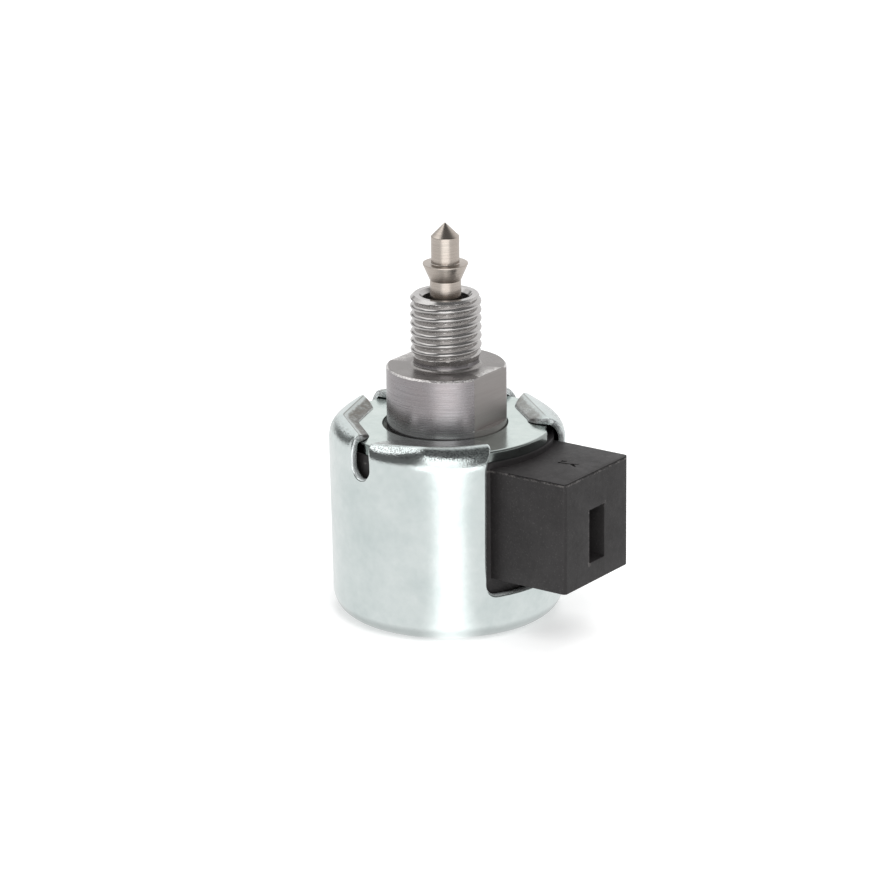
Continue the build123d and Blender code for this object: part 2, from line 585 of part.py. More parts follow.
# Blade terminal standing back inside the slot, with a narrow solder tail
with BuildPart() as blade_terminal:
    with BuildSketch(Plane.XZ.offset(-BLADE_THICKNESS / 2)):
        half_blade = BLADE_WIDTH / 2
        half_tail = TAIL_WIDTH / 2
        blade_start = SLOT_BACK + SEAT_CLEARANCE
        outline(
            (TAIL_START, SLOT_MIDDLE - half_tail),
            (blade_start, SLOT_MIDDLE - half_tail),
            (blade_start, SLOT_MIDDLE - half_blade),
            (BLADE_TIP - BLADE_TIP_CHAMFER, SLOT_MIDDLE - half_blade),
            (BLADE_TIP, SLOT_MIDDLE - half_blade + BLADE_TIP_CHAMFER),
            (BLADE_TIP, SLOT_MIDDLE + half_blade - BLADE_TIP_CHAMFER),
            (BLADE_TIP - BLADE_TIP_CHAMFER, SLOT_MIDDLE + half_blade),
            (blade_start, SLOT_MIDDLE + half_blade),
            (blade_start, SLOT_MIDDLE + half_tail),
            (TAIL_START, SLOT_MIDDLE + half_tail),
        )
        with Locations((BLADE_TIP - BLADE_HOLE_FROM_TIP, SLOT_MIDDLE)):
            Circle(BLADE_HOLE_RADIUS, mode=Mode.SUBTRACT)
    extrude(amount=BLADE_THICKNESS)


# Last end of the winding, soldered along the blade's tail
with BuildPart() as coil_finish_lead:
    with BuildSketch(Plane.YZ.offset(JACKET_CORE_RADIUS)):
        with Locations((FINISH_LEAD_SIDE, SLOT_MIDDLE)):
            Circle(LEAD_RADIUS)
    extrude(amount=FINISH_LEAD_END - JACKET_CORE_RADIUS)


# First end of the winding, led out through the bobbin's lower flange
with BuildPart() as coil_start_lead:
    with BuildSketch(Plane.YZ.offset(-START_LEAD_OUTER)):
        with Locations((0, START_LEAD_HEIGHT)):
            Circle(LEAD_RADIUS)
    extrude(amount=START_LEAD_OUTER - START_LEAD_INNER)


# Ground tab: a bent strip from the first lead to the can's wall
with BuildPart() as ground_tab:
    with BuildSketch(Plane.XZ.offset(-TAB_WIDTH / 2)):
        outline(
            (-TAB_INNER, TAB_BOTTOM),
            (-TAB_OUTER, TAB_BOTTOM),
            (-TAB_OUTER, TAB_BOTTOM + TAB_HEIGHT),
            (-TAB_OUTER + TAB_THICKNESS, TAB_BOTTOM + TAB_HEIGHT),
            (-TAB_OUTER + TAB_THICKNESS, TAB_BOTTOM + TAB_THICKNESS),
            (-TAB_INNER, TAB_BOTTOM + TAB_THICKNESS),
        )
    extrude(amount=TAB_WIDTH)


# Conical spring washer that presses the coil up against the plate
with BuildPart() as spring_washer:
    with BuildSketch(Plane.XZ):
        outline(
            (WASHER_INNER_RADIUS, WASHER_FOOT),
            (WASHER_OUTER_RADIUS, WASHER_FOOT + WASHER_RISE),
            (WASHER_OUTER_RADIUS, WASHER_FOOT + WASHER_RISE + WASHER_THICKNESS),
            (WASHER_INNER_RADIUS, WASHER_FOOT + WASHER_THICKNESS),
        )
    revolve(axis=Axis.Z)


pieces = {
    "can_shell": can_shell,
    "top_plate": top_plate,
    "valve_body": valve_body,
    "guide_bush": guide_bush,
    "guide_tube": guide_tube,
    "pole_core": pole_core,
    "pole_shim": pole_shim,
    "plunger": plunger,
    "needle": needle,
    "return_spring": return_spring,
    "upper_seal": upper_seal,
    "lower_seal": lower_seal,
    "bobbin": bobbin,
    "coil_winding": coil_winding,
    "coil_tape": coil_tape,
    "connector_housing": connector_housing,
    "blade_terminal": blade_terminal,
    "coil_finish_lead": coil_finish_lead,
    "coil_start_lead": coil_start_lead,
    "ground_tab": ground_tab,
    "spring_washer": spring_washer,
}

os.makedirs("parts", exist_ok=True)
for name, piece in pieces.items():
    piece.part.label = name
    export_step(piece.part, f"parts/{name}.step")
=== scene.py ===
"""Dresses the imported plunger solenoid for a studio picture: plated can, turned body, needle, black plug."""

import math

import bmesh
import bpy
from mathutils import Matrix, Vector
from mathutils.geometry import delaunay_2d_cdt
from mathutils.kdtree import KDTree


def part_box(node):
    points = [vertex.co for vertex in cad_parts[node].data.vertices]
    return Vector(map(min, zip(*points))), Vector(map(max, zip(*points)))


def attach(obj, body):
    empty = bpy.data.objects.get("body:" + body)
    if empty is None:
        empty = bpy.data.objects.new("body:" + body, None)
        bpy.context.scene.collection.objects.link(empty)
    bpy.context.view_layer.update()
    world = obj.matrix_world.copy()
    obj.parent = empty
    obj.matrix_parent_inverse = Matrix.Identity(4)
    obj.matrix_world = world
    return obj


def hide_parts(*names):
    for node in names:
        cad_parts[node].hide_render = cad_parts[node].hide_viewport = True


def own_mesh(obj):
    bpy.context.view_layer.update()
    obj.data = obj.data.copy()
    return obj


bl_info = {
    "name": "Plunger solenoid",
    "version": (1, 0, 0),
    "blender": (4, 5, 0),
    "location": "View3D > Sidebar > Solenoid",
    "description": "Builds the visible pieces of a plunger solenoid round its packed frame",
    "category": "Object",
}

MM = 0.001
FIXED = "housing"
MOVING = "plunger"

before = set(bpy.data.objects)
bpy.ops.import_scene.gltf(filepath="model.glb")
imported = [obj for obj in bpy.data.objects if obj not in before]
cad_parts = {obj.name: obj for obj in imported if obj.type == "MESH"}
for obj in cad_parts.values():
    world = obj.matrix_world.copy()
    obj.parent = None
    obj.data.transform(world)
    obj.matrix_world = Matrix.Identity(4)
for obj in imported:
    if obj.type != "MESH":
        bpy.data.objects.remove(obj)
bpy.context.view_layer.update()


def millimetres(node):
    """Lowest and highest corner of a CAD node, in millimetres."""
    return [Vector(corner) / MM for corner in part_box(node)]


CAN_LOW, CAN_HIGH = millimetres("can_shell")
PLATE_LOW, PLATE_HIGH = millimetres("top_plate")
BODY_LOW, BODY_HIGH = millimetres("valve_body")
NEEDLE_LOW, NEEDLE_HIGH = millimetres("needle")
HOUSING_LOW, HOUSING_HIGH = millimetres("connector_housing")
SPRING_LOW, SPRING_HIGH = millimetres("return_spring")


def length(name, default, description):
    """A size in millimetres that a user may change in the sidebar."""
    return bpy.props.FloatProperty(name=name, default=default, description=description, precision=3)


def angle(name, default, description):
    """An angle in degrees that a user may change in the sidebar."""
    return bpy.props.FloatProperty(name=name, default=default, description=description, precision=2)


def count(name, default, description):
    """A whole number of parts."""
    return bpy.props.IntProperty(name=name, default=default, description=description, min=1)


def level(name, default, description):
    """A brightness, a share or a power."""
    return bpy.props.FloatProperty(name=name, default=default, description=description, precision=3)


def paint(name, default, description):
    """A colour, as it is written in a shader."""
    return bpy.props.FloatVectorProperty(
        name=name, default=default, description=description, subtype="COLOR", size=3, min=0.0, max=1.0
    )


class CanSizes(bpy.types.PropertyGroup):
    """Sizes of the crimped steel can, in millimetres and degrees."""

    base_radius: length("Base radius", 13.05, "Outside radius just above the base's rounding")
    top_radius: length("Top radius", CAN_HIGH.y, "Outside radius where the rim starts to bend")
    wall: length("Wall", 0.75, "Sheet thickness")
    base_round: length("Base rounding", 2.6, "Outside radius of the base's edge")
    bend_rise: length("Rim bend height", 2.6, "How high the rim's bend rises")
    crest: length("Crest height", CAN_HIGH.z, "Highest point of the crimped rim")
    flap_edge_distance: length("Flap edge", 9.45, "Distance of the flaps' pressed edges from the axis")
    flap_drop: length("Flap drop", 0.55, "How far the flaps' tips lie below the crest")
    front_drop: length("Front flap drop", 0.06, "The same for the flap between the near slit and the window")
    flap_edge: length("Flap edge thickness", 0.3, "Thickness of the flaps' pressed tips")
    slit_width: length("Slit width", 2.65, "Width of each slit in the wall")
    slit_bottom: length("Slit bottom", 18.15, "Height of the slits' round ends")
    window_from: angle("Window from", -35.5, "Angle of the window's near edge")
    window_to: angle("Window to", 31.5, "Angle of the window's far edge")
    window_bottom: length("Window bottom", 5.4, "Height of the window's lower edge")
    window_round: length("Window corners", 1.3, "Rounding of the window's lower corners")
    tip_round: length("Flap corners", 1.35, "Rounding of the flaps' corners beside the slits")
    window_tip_round: length("Window flap corners", 0.8, "Rounding of the flaps' corners beside the window")
    taper: angle("Flap taper", 3.0, "Angle by which a flap's ends draw in from its crease to its edge")
    edge_round: length("Edge rounding", 0.28, "Rounding of the outer skin along the cut edges")
    end_droop: length("Flap end droop", 0.42, "How far the front flap's end beside the near slit hangs")
    end_lift: length("Flap end lift", 0.22, "How far the far flap's end beside the window is sprung up")
    lip: length("Slit lip", 0.13, "How far the near slit's left side is turned up")


class PlateSizes(bpy.types.PropertyGroup):
    """Sizes of the thick washer that the flaps hold down, in millimetres and degrees."""

    radius: length("Radius", PLATE_HIGH.x, "Outside radius")
    hole: length("Hole radius", 7.06, "Radius of the hole round the barrel")
    offset: length("Hole offset", 0.2, "How far the hole lies off the axis")
    offset_turn: angle("Hole offset angle", 195.0, "Direction in which the hole lies off the axis")
    edge: length("Edge rounding", 0.22, "Rounding of the upper outer edge")
    notch: length("Notch", 0.6, "Depth of the shallow recess in the rim at the window's far end")
    notch_from: angle("Notch from", 14.0, "Angle at which the recess starts")


class BodySizes(bpy.types.PropertyGroup):
    """Sizes of the turned valve body: barrel, wrench flats, undercut and threaded stub, in millimetres."""

    barrel: length("Barrel radius", 6.75, "Radius of the barrel")
    barrel_top: length("Barrel top", 28.7, "Height of the barrel's shoulder")
    flats: length("Across flats", 12.0, "Distance across the two wrench flats")
    flat_bottom: length("Flat bottom", 22.6, "Height at which the flats start")
    undercut: length("Undercut radius", 3.65, "Radius between shoulder and thread")
    thread: length("Thread radius", 4.0, "Radius over the thread's crests")
    thread_bottom: length("Thread bottom", 29.5, "Height of the thread's lower end")
    pitch: length("Pitch", 1.0, "Distance from crest to crest")
    depth: length("Thread depth", 0.5, "How deep the thread is cut")
    start: angle("Thread start", 162.0, "Degrees by which the thread is turned round the stub")
    tip: length("Tip radius", 3.6, "Radius of the stub's end face")
    tip_chamfer: length("Tip chamfer", 0.4, "Height of the chamfer at the stub's end")
    mouth: length("Mouth radius", 3.0, "Radius of the bore's mouth")
    bore: length("Bore radius", 2.6, "Radius of the bore")
    columns: count("Columns", 240, "Mesh columns round the body")


class NeedleSizes(bpy.types.PropertyGroup):
    """Sizes of the needle with its collar and cone tip, in millimetres."""

    shank: length("Shank radius", 1.75, "Radius below the collar")
    neck: length("Neck height", 38.5, "Height at which the collar's cone starts")
    collar: length("Collar radius", NEEDLE_HIGH.x, "Radius of the collar's rim")
    collar_top: length("Collar top", 40.45, "Height of the collar's flat top")
    rim: length("Rim height", 0.15, "Height of the collar's straight rim")
    tip_shank: length("Tip shank radius", 1.58, "Radius above the collar")


class PlugSizes(bpy.types.PropertyGroup):
    """Sizes of the moulded jacket and connector block, in millimetres."""

    face: length("Face", HOUSING_HIGH.x, "Distance of the block's face from the axis")
    width: length("Width", 12.57, "Width of the block")
    bottom: length("Bottom", 7.1, "Height of the block's underside")
    top: length("Top", 19.9, "Height of the block's top")
    corner: length("Corner rounding", 0.45, "Rounding of the block's upright outer corners")
    jacket: length("Jacket radius", 12.05, "Radius of the jacket round the coil")
    slot_width: length("Slot width", 3.0, "Width of the terminal slot")
    slot_height: length("Slot height", 6.2, "Height of the terminal slot")
    slot_middle: length("Slot middle", 12.5, "Height of the slot's middle")
    slot_back: length("Slot back", 12.8, "Distance of the slot's floor from the axis")
    edge: length("Edge break", 0.06, "Bevel along the moulding's edges")
    flash: length("Flash", 0.05, "Size of the moulding flash along the top edges")
    flash_step: length("Flash step", 0.12, "Distance from one section of the flash to the next")
    groove: length("Groove", 0.09, "Width and depth of the groove between the flash and the top")
    recess: length("Gate depth", 0.35, "Depth of the snapped-off gate's mark")


class SpringSizes(bpy.types.PropertyGroup):
    """Sizes of the return spring, in millimetres."""

    wire: length("Wire radius", 0.2, "Radius of the spring's wire")
    radius: length("Coil radius", 1.5, "Radius of the coils, to the wire's middle")
    turns: count("Turns", 5, "Number of coils")


class Finishes(bpy.types.PropertyGroup):
    """Colours of the finishes."""

    zinc: paint("Zinc", (0.665, 0.717, 0.708), "Plating of the can")
    plate: paint("Plate zinc", (0.66, 0.73, 0.70), "Plating of the top plate")
    mark: paint("Tool mark", (0.2, 0.182, 0.16), "Matte marks of the crimping tool")
    turned: paint("Turned steel", (0.335, 0.322, 0.334), "Barrel and threaded stub")
    needle: paint("Needle steel", (0.50, 0.455, 0.41), "Needle")
    # The tool mark colour also paints the shade along the flaps' creases
    plastic: paint("Plastic", (0.0215, 0.0196, 0.02), "Jacket and connector block")
    peel: length("Orange peel", 0.017, "Depth of the zinc plate's fine unevenness, in millimetres")


class StageSettings(bpy.types.PropertyGroup):
    """Camera, as fitted to the photograph, and the strength of the lamps."""

    azimuth: angle("Azimuth", 35.6, "Camera's turn round the axis")
    elevation: angle("Elevation", 18.0, "Camera's height above the horizon")
    roll: angle("Roll", -0.6, "Camera's turn about its own axis")
    distance: length("Distance", 494.3, "Distance to the origin along the view")
    focal: length("Focal length", 179.5, "Focal length for the sensor's width")
    sensor: length("Sensor width", 36.0, "Width of the sensor")
    origin_x: length("Origin across", 448.6, "Where the origin falls in the picture, in pixels from the left")
    origin_y: length("Origin down", 604.4, "Where the origin falls in the picture, in pixels from the top")
    picture: count("Picture", 870, "Width and height of the picture in pixels")
    floor_glow: level("Floor glow", 0.395, "Light the floor adds of its own, so its shadows stay faint")
    band_turn: angle("Band turn", 1.5, "Turn of the floor's bright band from the camera")
    band_reach: angle("Band reach", 24.0, "Angle at which the floor's bright band has faded out")
    band_spread: level("Band spread", 0.14, "How much wider the band is far from the object")
    band_strength: level("Band strength", 0.92, "Brightness that the band adds, as metal sees it")
    foot_shade: level("Foot shade", 0.74, "Brightness of the floor at the object's foot, as metal sees it")
    horizon: level("Horizon", 0.92, "Brightness of the floor and of the air right above it, as metal sees it")
    room: level("Room", 0.13, "Brightness of the dark room over the camera, as metal sees it")
    ceiling: level("Ceiling", 0.42, "Brightness straight above, as metal sees it")
    box_strength: level("Box strength", 1.6, "Brightness of the white box over the camera, as metal sees it")
    left_strength: level("Left box strength", 1.5, "Brightness of the high box on the left, as metal sees it")
    ambient: level("Ambient", 0.5, "Even light from all round on matte surfaces")
    key_watts: level("Key", 2.4, "Power of the key light, in watts")
    fill_watts: level("Fill", 0.7, "Power of the light from the left, in watts")
    top_watts: level("Top light", 2.4, "Power of the light from above, in watts")


GROUPS = {
    "solenoid_can": CanSizes,
    "solenoid_plate": PlateSizes,
    "solenoid_body": BodySizes,
    "solenoid_needle": NeedleSizes,
    "solenoid_plug": PlugSizes,
    "solenoid_spring": SpringSizes,
    "solenoid_finishes": Finishes,
    "solenoid_stage": StageSettings,
}


def on_circle(radius, height, turn):
    """A point in metres, from millimetres and radians."""
    return Vector((radius * math.cos(turn), radius * math.sin(turn), height)) * MM


def smooth_step(x):
    """0 below 0, 1 above 1, and a smooth rise between."""
    x = min(1.0, max(0.0, x))
    return x * x * (3 - 2 * x)


def rounded(points, steps=4):
    """Corners given as (x, y, rounding) become a line whose corners are arcs."""
    line = []
    for index, (x, y, radius) in enumerate(points):
        here = Vector((x, y))
        if radius <= 0:
            line.append(here)
            continue
        before = (Vector(points[index - 1][:2]) - here).normalized()
        after = (Vector(points[(index + 1) % len(points)][:2]) - here).normalized()
        opening = before.angle(after)
        reach = radius / math.tan(opening / 2)
        middle = here + (before + after).normalized() * (radius / math.sin(opening / 2))
        first = here + before * reach - middle
        sweep = first.angle_signed(here + after * reach - middle)
        line += [middle + Matrix.Rotation(-sweep * step / steps, 2) @ first for step in range(steps + 1)]
    return line


def divided(points, step):
    """The closed line with points added so that no stretch is longer than step."""
    line = []
    for here, there in zip(points, points[1:] + points[:1]):
        parts = max(1, math.ceil((there - here).length / step - 1e-6))
        line += [here.lerp(there, part / parts) for part in range(parts)]
    return line


def as_mesh(made, name):
    """Turns a bmesh into a mesh."""
    mesh = bpy.data.meshes.new(name)
    made.to_mesh(mesh)
    made.free()
    return mesh


def as_bmesh(mesh):
    """Turns a mesh into a bmesh."""
    made = bmesh.new()
    made.from_mesh(mesh)
    bpy.data.meshes.remove(mesh)
    return made


def finish_mesh(made, name, sharp):
    """Turns a bmesh into a smooth-shaded mesh with its sharp edges and edge mask marked."""
    bmesh.ops.recalc_face_normals(made, faces=made.faces)
    made.normal_update()
    edge_mask = []
    for vertex in made.verts:
        turns = [edge.calc_face_angle(0.0) for edge in vertex.link_edges if len(edge.link_faces) == 2]
        edge_mask.append(smooth_step((max(turns, default=0.0) - 0.25) / 0.5))
    masked = "edge" in made.verts.layers.float
    mesh = as_mesh(made, name)
    if not masked:
        mask = mesh.attributes.new("edge", "FLOAT", "POINT")
        mask.data.foreach_set("value", edge_mask)
    mesh.shade_smooth()
    mesh.set_sharp_from_angle(angle=math.radians(sharp))
    return mesh


def guarded(profile, margin=0.12):
    """The profile with a point added beside each end of its long stretches, so that edge wear stays there."""
    line = [profile[0]]
    for here, there in zip(profile, profile[1:]):
        span = (there - here).length
        if span > 4 * margin:
            line += [here.lerp(there, margin / span), there.lerp(here, margin / span)]
        line.append(there)
    return line


def lathe(corners, columns, closed=True, shape=None):
    """A bmesh turned from (radius, height, rounding) corners. shape may change a radius by height, turn."""
    made = bmesh.new()
    rings = []
    for radius, height in guarded(rounded(corners)):
        if radius < 1e-6:
            rings.append([made.verts.new(on_circle(0, height, 0))] * columns)
            continue
        ring = []
        for column in range(columns):
            turn = 2 * math.pi * column / columns
            reach = shape(radius, height, turn) if shape else radius
            ring.append(made.verts.new(on_circle(reach, height, turn)))
        rings.append(ring)
    pairs = list(zip(rings, rings[1:]))
    if closed:
        pairs.append((rings[-1], rings[0]))
    for lower, upper in pairs:
        for column in range(columns):
            beside = (column + 1) % columns
            face = dict.fromkeys([lower[column], lower[beside], upper[beside], upper[column]])
            if len(face) > 2:
                made.faces.new(list(face))
    return made


def linked(name, data):
    """A new object in the scene."""
    piece = bpy.data.objects.new(name, data)
    bpy.context.scene.collection.objects.link(piece)
    return piece


def dress(mesh, material):
    """Gives a mesh its one material."""
    mesh.materials.clear()
    mesh.materials.append(material)


def put(name, made, sharp, material, slot, *nodes, body=FIXED):
    """Links a finished bmesh as a piece that rides on a body and stands for CAD nodes."""
    mesh = finish_mesh(made, name, sharp)
    piece = linked(name, mesh)
    dress(mesh, material)
    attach(piece, body)
    if nodes:
        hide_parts(*nodes)
    return piece


def settled(piece):
    """The piece's evaluated shape as a plain mesh. The helper object is taken away."""
    graph = bpy.context.evaluated_depsgraph_get()
    mesh = bpy.data.meshes.new_from_object(piece.evaluated_get(graph), depsgraph=graph)
    bpy.data.objects.remove(piece)
    return mesh


def add_node(tree, kind, inputs=None, **settings):
    """Adds a node, with its settings, and its inputs given as plain values or as values to link."""
    made = tree.nodes.new(kind)
    for key, value in settings.items():
        setattr(made, key, value)
    for key, value in (inputs or {}).items():
        feed(tree, made.inputs[key], value)
    return made


def feed(tree, socket, value):
    """Links a value to a socket, or sets the socket."""
    if isinstance(value, Value):
        tree.links.new(value.socket, socket)
    else:
        socket.default_value = value


def output(tree, kind, inputs=None, key=0, **settings):
    """One of the outputs of a new node."""
    return Value(tree, add_node(tree, kind, inputs, **settings).outputs[key])


class Value:
    """A node's output. Arithmetic with it adds nodes to its tree."""

    def __init__(self, tree, socket):
        self.tree = tree
        self.socket = socket

    def math(self, operation, *others):
        """The result of a Math node that starts with this value."""
        return output(self.tree, "ShaderNodeMath", dict(enumerate((self, *others))), operation=operation)

    def __add__(self, other):
        return self.math("ADD", other)

    def __sub__(self, other):
        return self.math("SUBTRACT", other)

    def __rsub__(self, other):
        return self.math("MULTIPLY_ADD", -1.0, other)

    def __mul__(self, other):
        return self.math("MULTIPLY", other)

    def __truediv__(self, other):
        return self.math("DIVIDE", other)

    def __abs__(self):
        return self.math("ABSOLUTE")

    def vector(self, operation, other=None, key=0):
        """The result of a Vector Math node that starts with this vector."""
        inputs = {0: self} if other is None else {0: self, 1: tuple(other)}
        return output(self.tree, "ShaderNodeVectorMath", inputs, key, operation=operation)

    def dot(self, direction):
        """The vector's share along a fixed direction."""
        return self.vector("DOT_PRODUCT", direction, "Value")

    def part(self, letter):
        """The X, Y or Z of this vector."""
        return output(self.tree, "ShaderNodeSeparateXYZ", {0: self}, letter)

    def span(self, low, high, new_low=0.0, new_high=1.0):
        """This value's place between two limits, clamped, as a place between two others."""
        inputs = {"Value": self, "From Min": low, "From Max": high, "To Min": new_low, "To Max": new_high}
        return output(self.tree, "ShaderNodeMapRange", inputs, "Result")

    def between(self, low, high, soft):
        """A mask that is 1 while this value in metres lies between two limits in millimetres."""
        rise = self.span((low - soft) * MM, (low + soft) * MM)
        return rise * self.span((high + soft) * MM, (high - soft) * MM)

    def mix(self, first, second):
        """A colour between two, which may be grey numbers, with this value as the second's share."""
        made = add_node(self.tree, "ShaderNodeMix", None, data_type="RGBA")
        sockets = {item.identifier: item for item in (*made.inputs, *made.outputs)}
        feed(self.tree, sockets["Factor_Float"], self)
        for key, colour in (("A_Color", first), ("B_Color", second)):
            if not isinstance(colour, Value):
                colour = (*colour[:3], 1.0) if hasattr(colour, "__len__") else (colour, colour, colour, 1.0)
            feed(self.tree, sockets[key], colour)
        return Value(self.tree, sockets["Result_Color"])


def tint(colour, *shares):
    """The colour with its parts scaled, all alike or each by a share of its own."""
    return [min(1.0, part * share) for part, share in zip(colour, shares * 3)]


def noise(vector, scale, detail, roughness, **settings):
    """Cloudy noise from 0 to 1."""
    inputs = {"Vector": vector, "Scale": scale, "Detail": detail, "Roughness": roughness}
    return output(vector.tree, "ShaderNodeTexNoise", inputs, **settings)


def mottle(given):
    """Cloudy variation at two sizes: a mask, and a height for a slight unevenness."""
    coarse = noise(given["Vector"], given["Size"], 3.0, 0.55)
    fine = noise(given["Vector"], given["Size"] * 5.3, 2.0, 0.6)
    share = given["Fine share"]
    height = coarse * (1.0 - share) + fine * share
    return height.span(0.32, 0.68), height


def lathe_lines(given):
    """Fine rings of a turned surface, which follow the height and wander a little: a mask and a height."""
    squeezed = given["Vector"].vector("MULTIPLY", (220.0, 220.0, 1.0))
    across = squeezed.part("Z") * given["Lines per metre"]
    places = {"X": squeezed.part("X"), "Y": squeezed.part("Y"), "Z": across}
    height = noise(output(squeezed.tree, "ShaderNodeCombineXYZ", places), 1.0, 3.0, 0.7)
    return height.span(0.3, 0.7), height


def grit(given):
    """Small pits and specks: a mask of specks, and a height."""
    height = noise(given["Vector"], given["Size"], 2.0, 0.5)
    return (height - given["Threshold"]).span(0.0, 0.06), height


SHADER_GROUPS = {
    "Mottle": (mottle, {"Vector": (0, 0, 0), "Size": 400.0, "Fine share": 0.35}, ("Mask", "Height")),
    "Lathe lines": (lathe_lines, {"Vector": (0, 0, 0), "Lines per metre": 9000.0}, ("Mask", "Height")),
    "Grit": (grit, {"Vector": (0, 0, 0), "Size": 6000.0, "Threshold": 0.66}, ("Specks", "Height")),
}

# The kind of a group's socket, by the type of its first value
SOCKETS = {
    float: "NodeSocketFloat",
    int: "NodeSocketInt",
    tuple: "NodeSocketVector",
    type(None): "NodeSocketGeometry",
}


def new_tree(name, kind, inputs):
    """An empty node group, and the values that it is given, by title."""
    tree = bpy.data.node_groups.new(name, kind)
    for title, default in inputs.items():
        socket = tree.interface.new_socket(title, in_out="INPUT", socket_type=SOCKETS[type(default)])
        if default is not None:
            socket.default_value = default
    given = tree.nodes.new("NodeGroupInput")
    return tree, {title: Value(tree, given.outputs[title]) for title in inputs}


def give_back(tree, kind, results):
    """Makes the group's outputs, one for each title and value."""
    for title in results:
        tree.interface.new_socket(title, in_out="OUTPUT", socket_type=kind)
    end = tree.nodes.new("NodeGroupOutput")
    for title, value in results.items():
        feed(tree, end.inputs[title], value)


def shader_group(name):
    """The shader group of a name, built the first time that it is asked for."""
    if name not in bpy.data.node_groups:
        build, inputs, titles = SHADER_GROUPS[name]
        tree, given = new_tree(name, "ShaderNodeTree", inputs)
        give_back(tree, "NodeSocketFloat", dict(zip(titles, build(given))))
    return bpy.data.node_groups[name]


class Surface:
    """A Principled material being built, with its coordinates and its edge mask at hand."""

    def __init__(self, name, metallic, specular=0.5):
        self.material = bpy.data.materials.new(name)
        self.material.use_nodes = True
        self.tree = self.material.node_tree
        self.shader = next(item for item in self.tree.nodes if item.type == "BSDF_PRINCIPLED")
        self.feed("Metallic", metallic)
        self.feed("Specular IOR Level", specular)
        self.where = output(self.tree, "ShaderNodeTexCoord", key="Object")
        self.edge = self.attribute("edge")

    def attribute(self, name):
        """A mask kept in the mesh's vertices."""
        return output(self.tree, "ShaderNodeAttribute", key="Fac", attribute_name=name)

    def group(self, name, **inputs):
        """The outputs of a shader group that reads the piece's own coordinates."""
        inputs = {key.replace("_", " "): value for key, value in inputs.items()}
        made = add_node(self.tree, "ShaderNodeGroup", None, node_tree=shader_group(name))
        for key, value in {"Vector": self.where, **inputs}.items():
            feed(self.tree, made.inputs[key], value)
        return [Value(self.tree, socket) for socket in made.outputs]

    def radius(self):
        """Distance from the upright axis, in metres."""
        return self.where.vector("MULTIPLY", (1, 1, 0)).vector("LENGTH", key="Value")

    def near(self, place, reach):
        """A mask that is 1 at a point and fades to 0 at a reach, both in millimetres."""
        gap = self.where.vector("DISTANCE", Vector(place) * MM, "Value")
        return gap.span(reach * MM, 0.3 * reach * MM)

    def feed(self, key, value):
        """Links or sets an input of the shader."""
        feed(self.tree, self.shader.inputs[key], value)

    def bump(self, height, depth, under=None):
        """Adds a bump of a real depth in millimetres, over another one where given."""
        inputs = {"Height": height, "Distance": depth * MM, "Strength": 1.0}
        if under:
            inputs["Normal"] = under
        normal = output(self.tree, "ShaderNodeBump", inputs)
        self.feed("Normal", normal)
        return normal


def finishes():
    """The colours chosen in the sidebar."""
    return bpy.context.scene.solenoid_finishes


# Places on the far flap in millimetres: its bright corner beside the window, and the middle of its faint mark
FLAP_END = (10.0, 5.2, 22.4)
FAR_FLAP = (7.2, 8.9, 22.6)

# Colours along edges: bare steel lightened into a painted highlight on cut edges, and a painted highlight on
# turned edges
CUT_STEEL_GLINT = (0.8, 0.82, 0.83)
EDGE_GLINT_STEEL = (0.8, 0.78, 0.76)


def zinc_finish(name, colour, marks, cloud_size):
    """Bright zinc plate: cloudy tint, fine orange peel, bare cut edges with a painted highlight, matte
    crimping marks, and painted shade along the flaps' creases and on the plate's rim.
    """
    look = Surface(name, metallic=1.0)
    cloud, unevenness = look.group("Mottle", Size=cloud_size, Fine_share=0.3)
    _, peel = look.group("Grit", Size=6000.0, Threshold=0.6)
    height = look.where.part("Z")
    light = [part * 1.08 + 0.015 for part in colour]
    base = cloud.mix(tint(colour, 0.92, 0.95, 0.95), light)
    rough = cloud.span(0.0, 1.0, 0.2, 0.15)
    depth = 0.002
    if marks:
        fold = look.attribute("fold")
        _, streak = look.group("Mottle", Size=900.0, Fine_share=0.45)
        inward = abs(fold)
        pressed = inward.span(0.0, 0.03)
        deep = (fold + streak * 1.3 - 0.65).span(0.26, 0.42)
        # Painted shade: a dark line along each flap's crease, in the tool mark colour
        crease = pressed * inward.span(0.16, 0.08) * 0.7
        mark = deep * (streak.span(0.62, 0.5) * 0.45 + 0.55)
        mark = mark.math("MAXIMUM", crease).math("MAXIMUM", pressed * 0.25)
        clean = 1.0 - look.near(FLAP_END, 1.5)
        mark = mark * clean * (1.0 - look.near(FAR_FLAP, 6.0) * 0.35)
        base = mark.mix(base, finishes().mark)
        rough = rough + mark * 0.2
        # Bare steel along the cut edges, also a painted highlight; brown marks dim it, except at the far
        # flap's corner by the window
        bare_cut_and_glint = look.edge * (1.0 - deep * clean * 0.75)
        peel = peel * (height.between(20.3, 22.75, 0.5) * 0.85 + 0.15)
        depth = finishes().peel
    else:
        # Painted shade: the plate's outer rim, under the flaps, is darkened
        rim = look.radius().between(PLATE_HIGH.x - 0.12, PLATE_HIGH.x + 1, 0.06)
        base = (rim * 0.85).mix(base, tint(colour, 0.3))
        # The painted highlight on the plate's cut edges is dimmed along its lower edge
        low_edge = height.between(PLATE_LOW.z - 0.1, PLATE_LOW.z + 0.12, 0.04)
        bare_cut_and_glint = look.edge * (1.0 - low_edge * 0.4)
    # Painted highlight: the cut edges turn lighter and less metallic
    base = (bare_cut_and_glint * 0.6).mix(base, CUT_STEEL_GLINT)
    if marks:
        specks, _ = look.group("Grit", Size=6500.0, Threshold=0.5)
        base = (specks * height.between(21.5, 22.6, 0.15) * 0.6).mix(base, tint(colour, 0.25))
    look.feed("Base Color", base)
    look.feed("Metallic", 1.0 - bare_cut_and_glint * 0.5)
    look.feed("Roughness", rough + bare_cut_and_glint * 0.1)
    look.bump(peel, depth, look.bump(unevenness, 0.03))
    return look.material


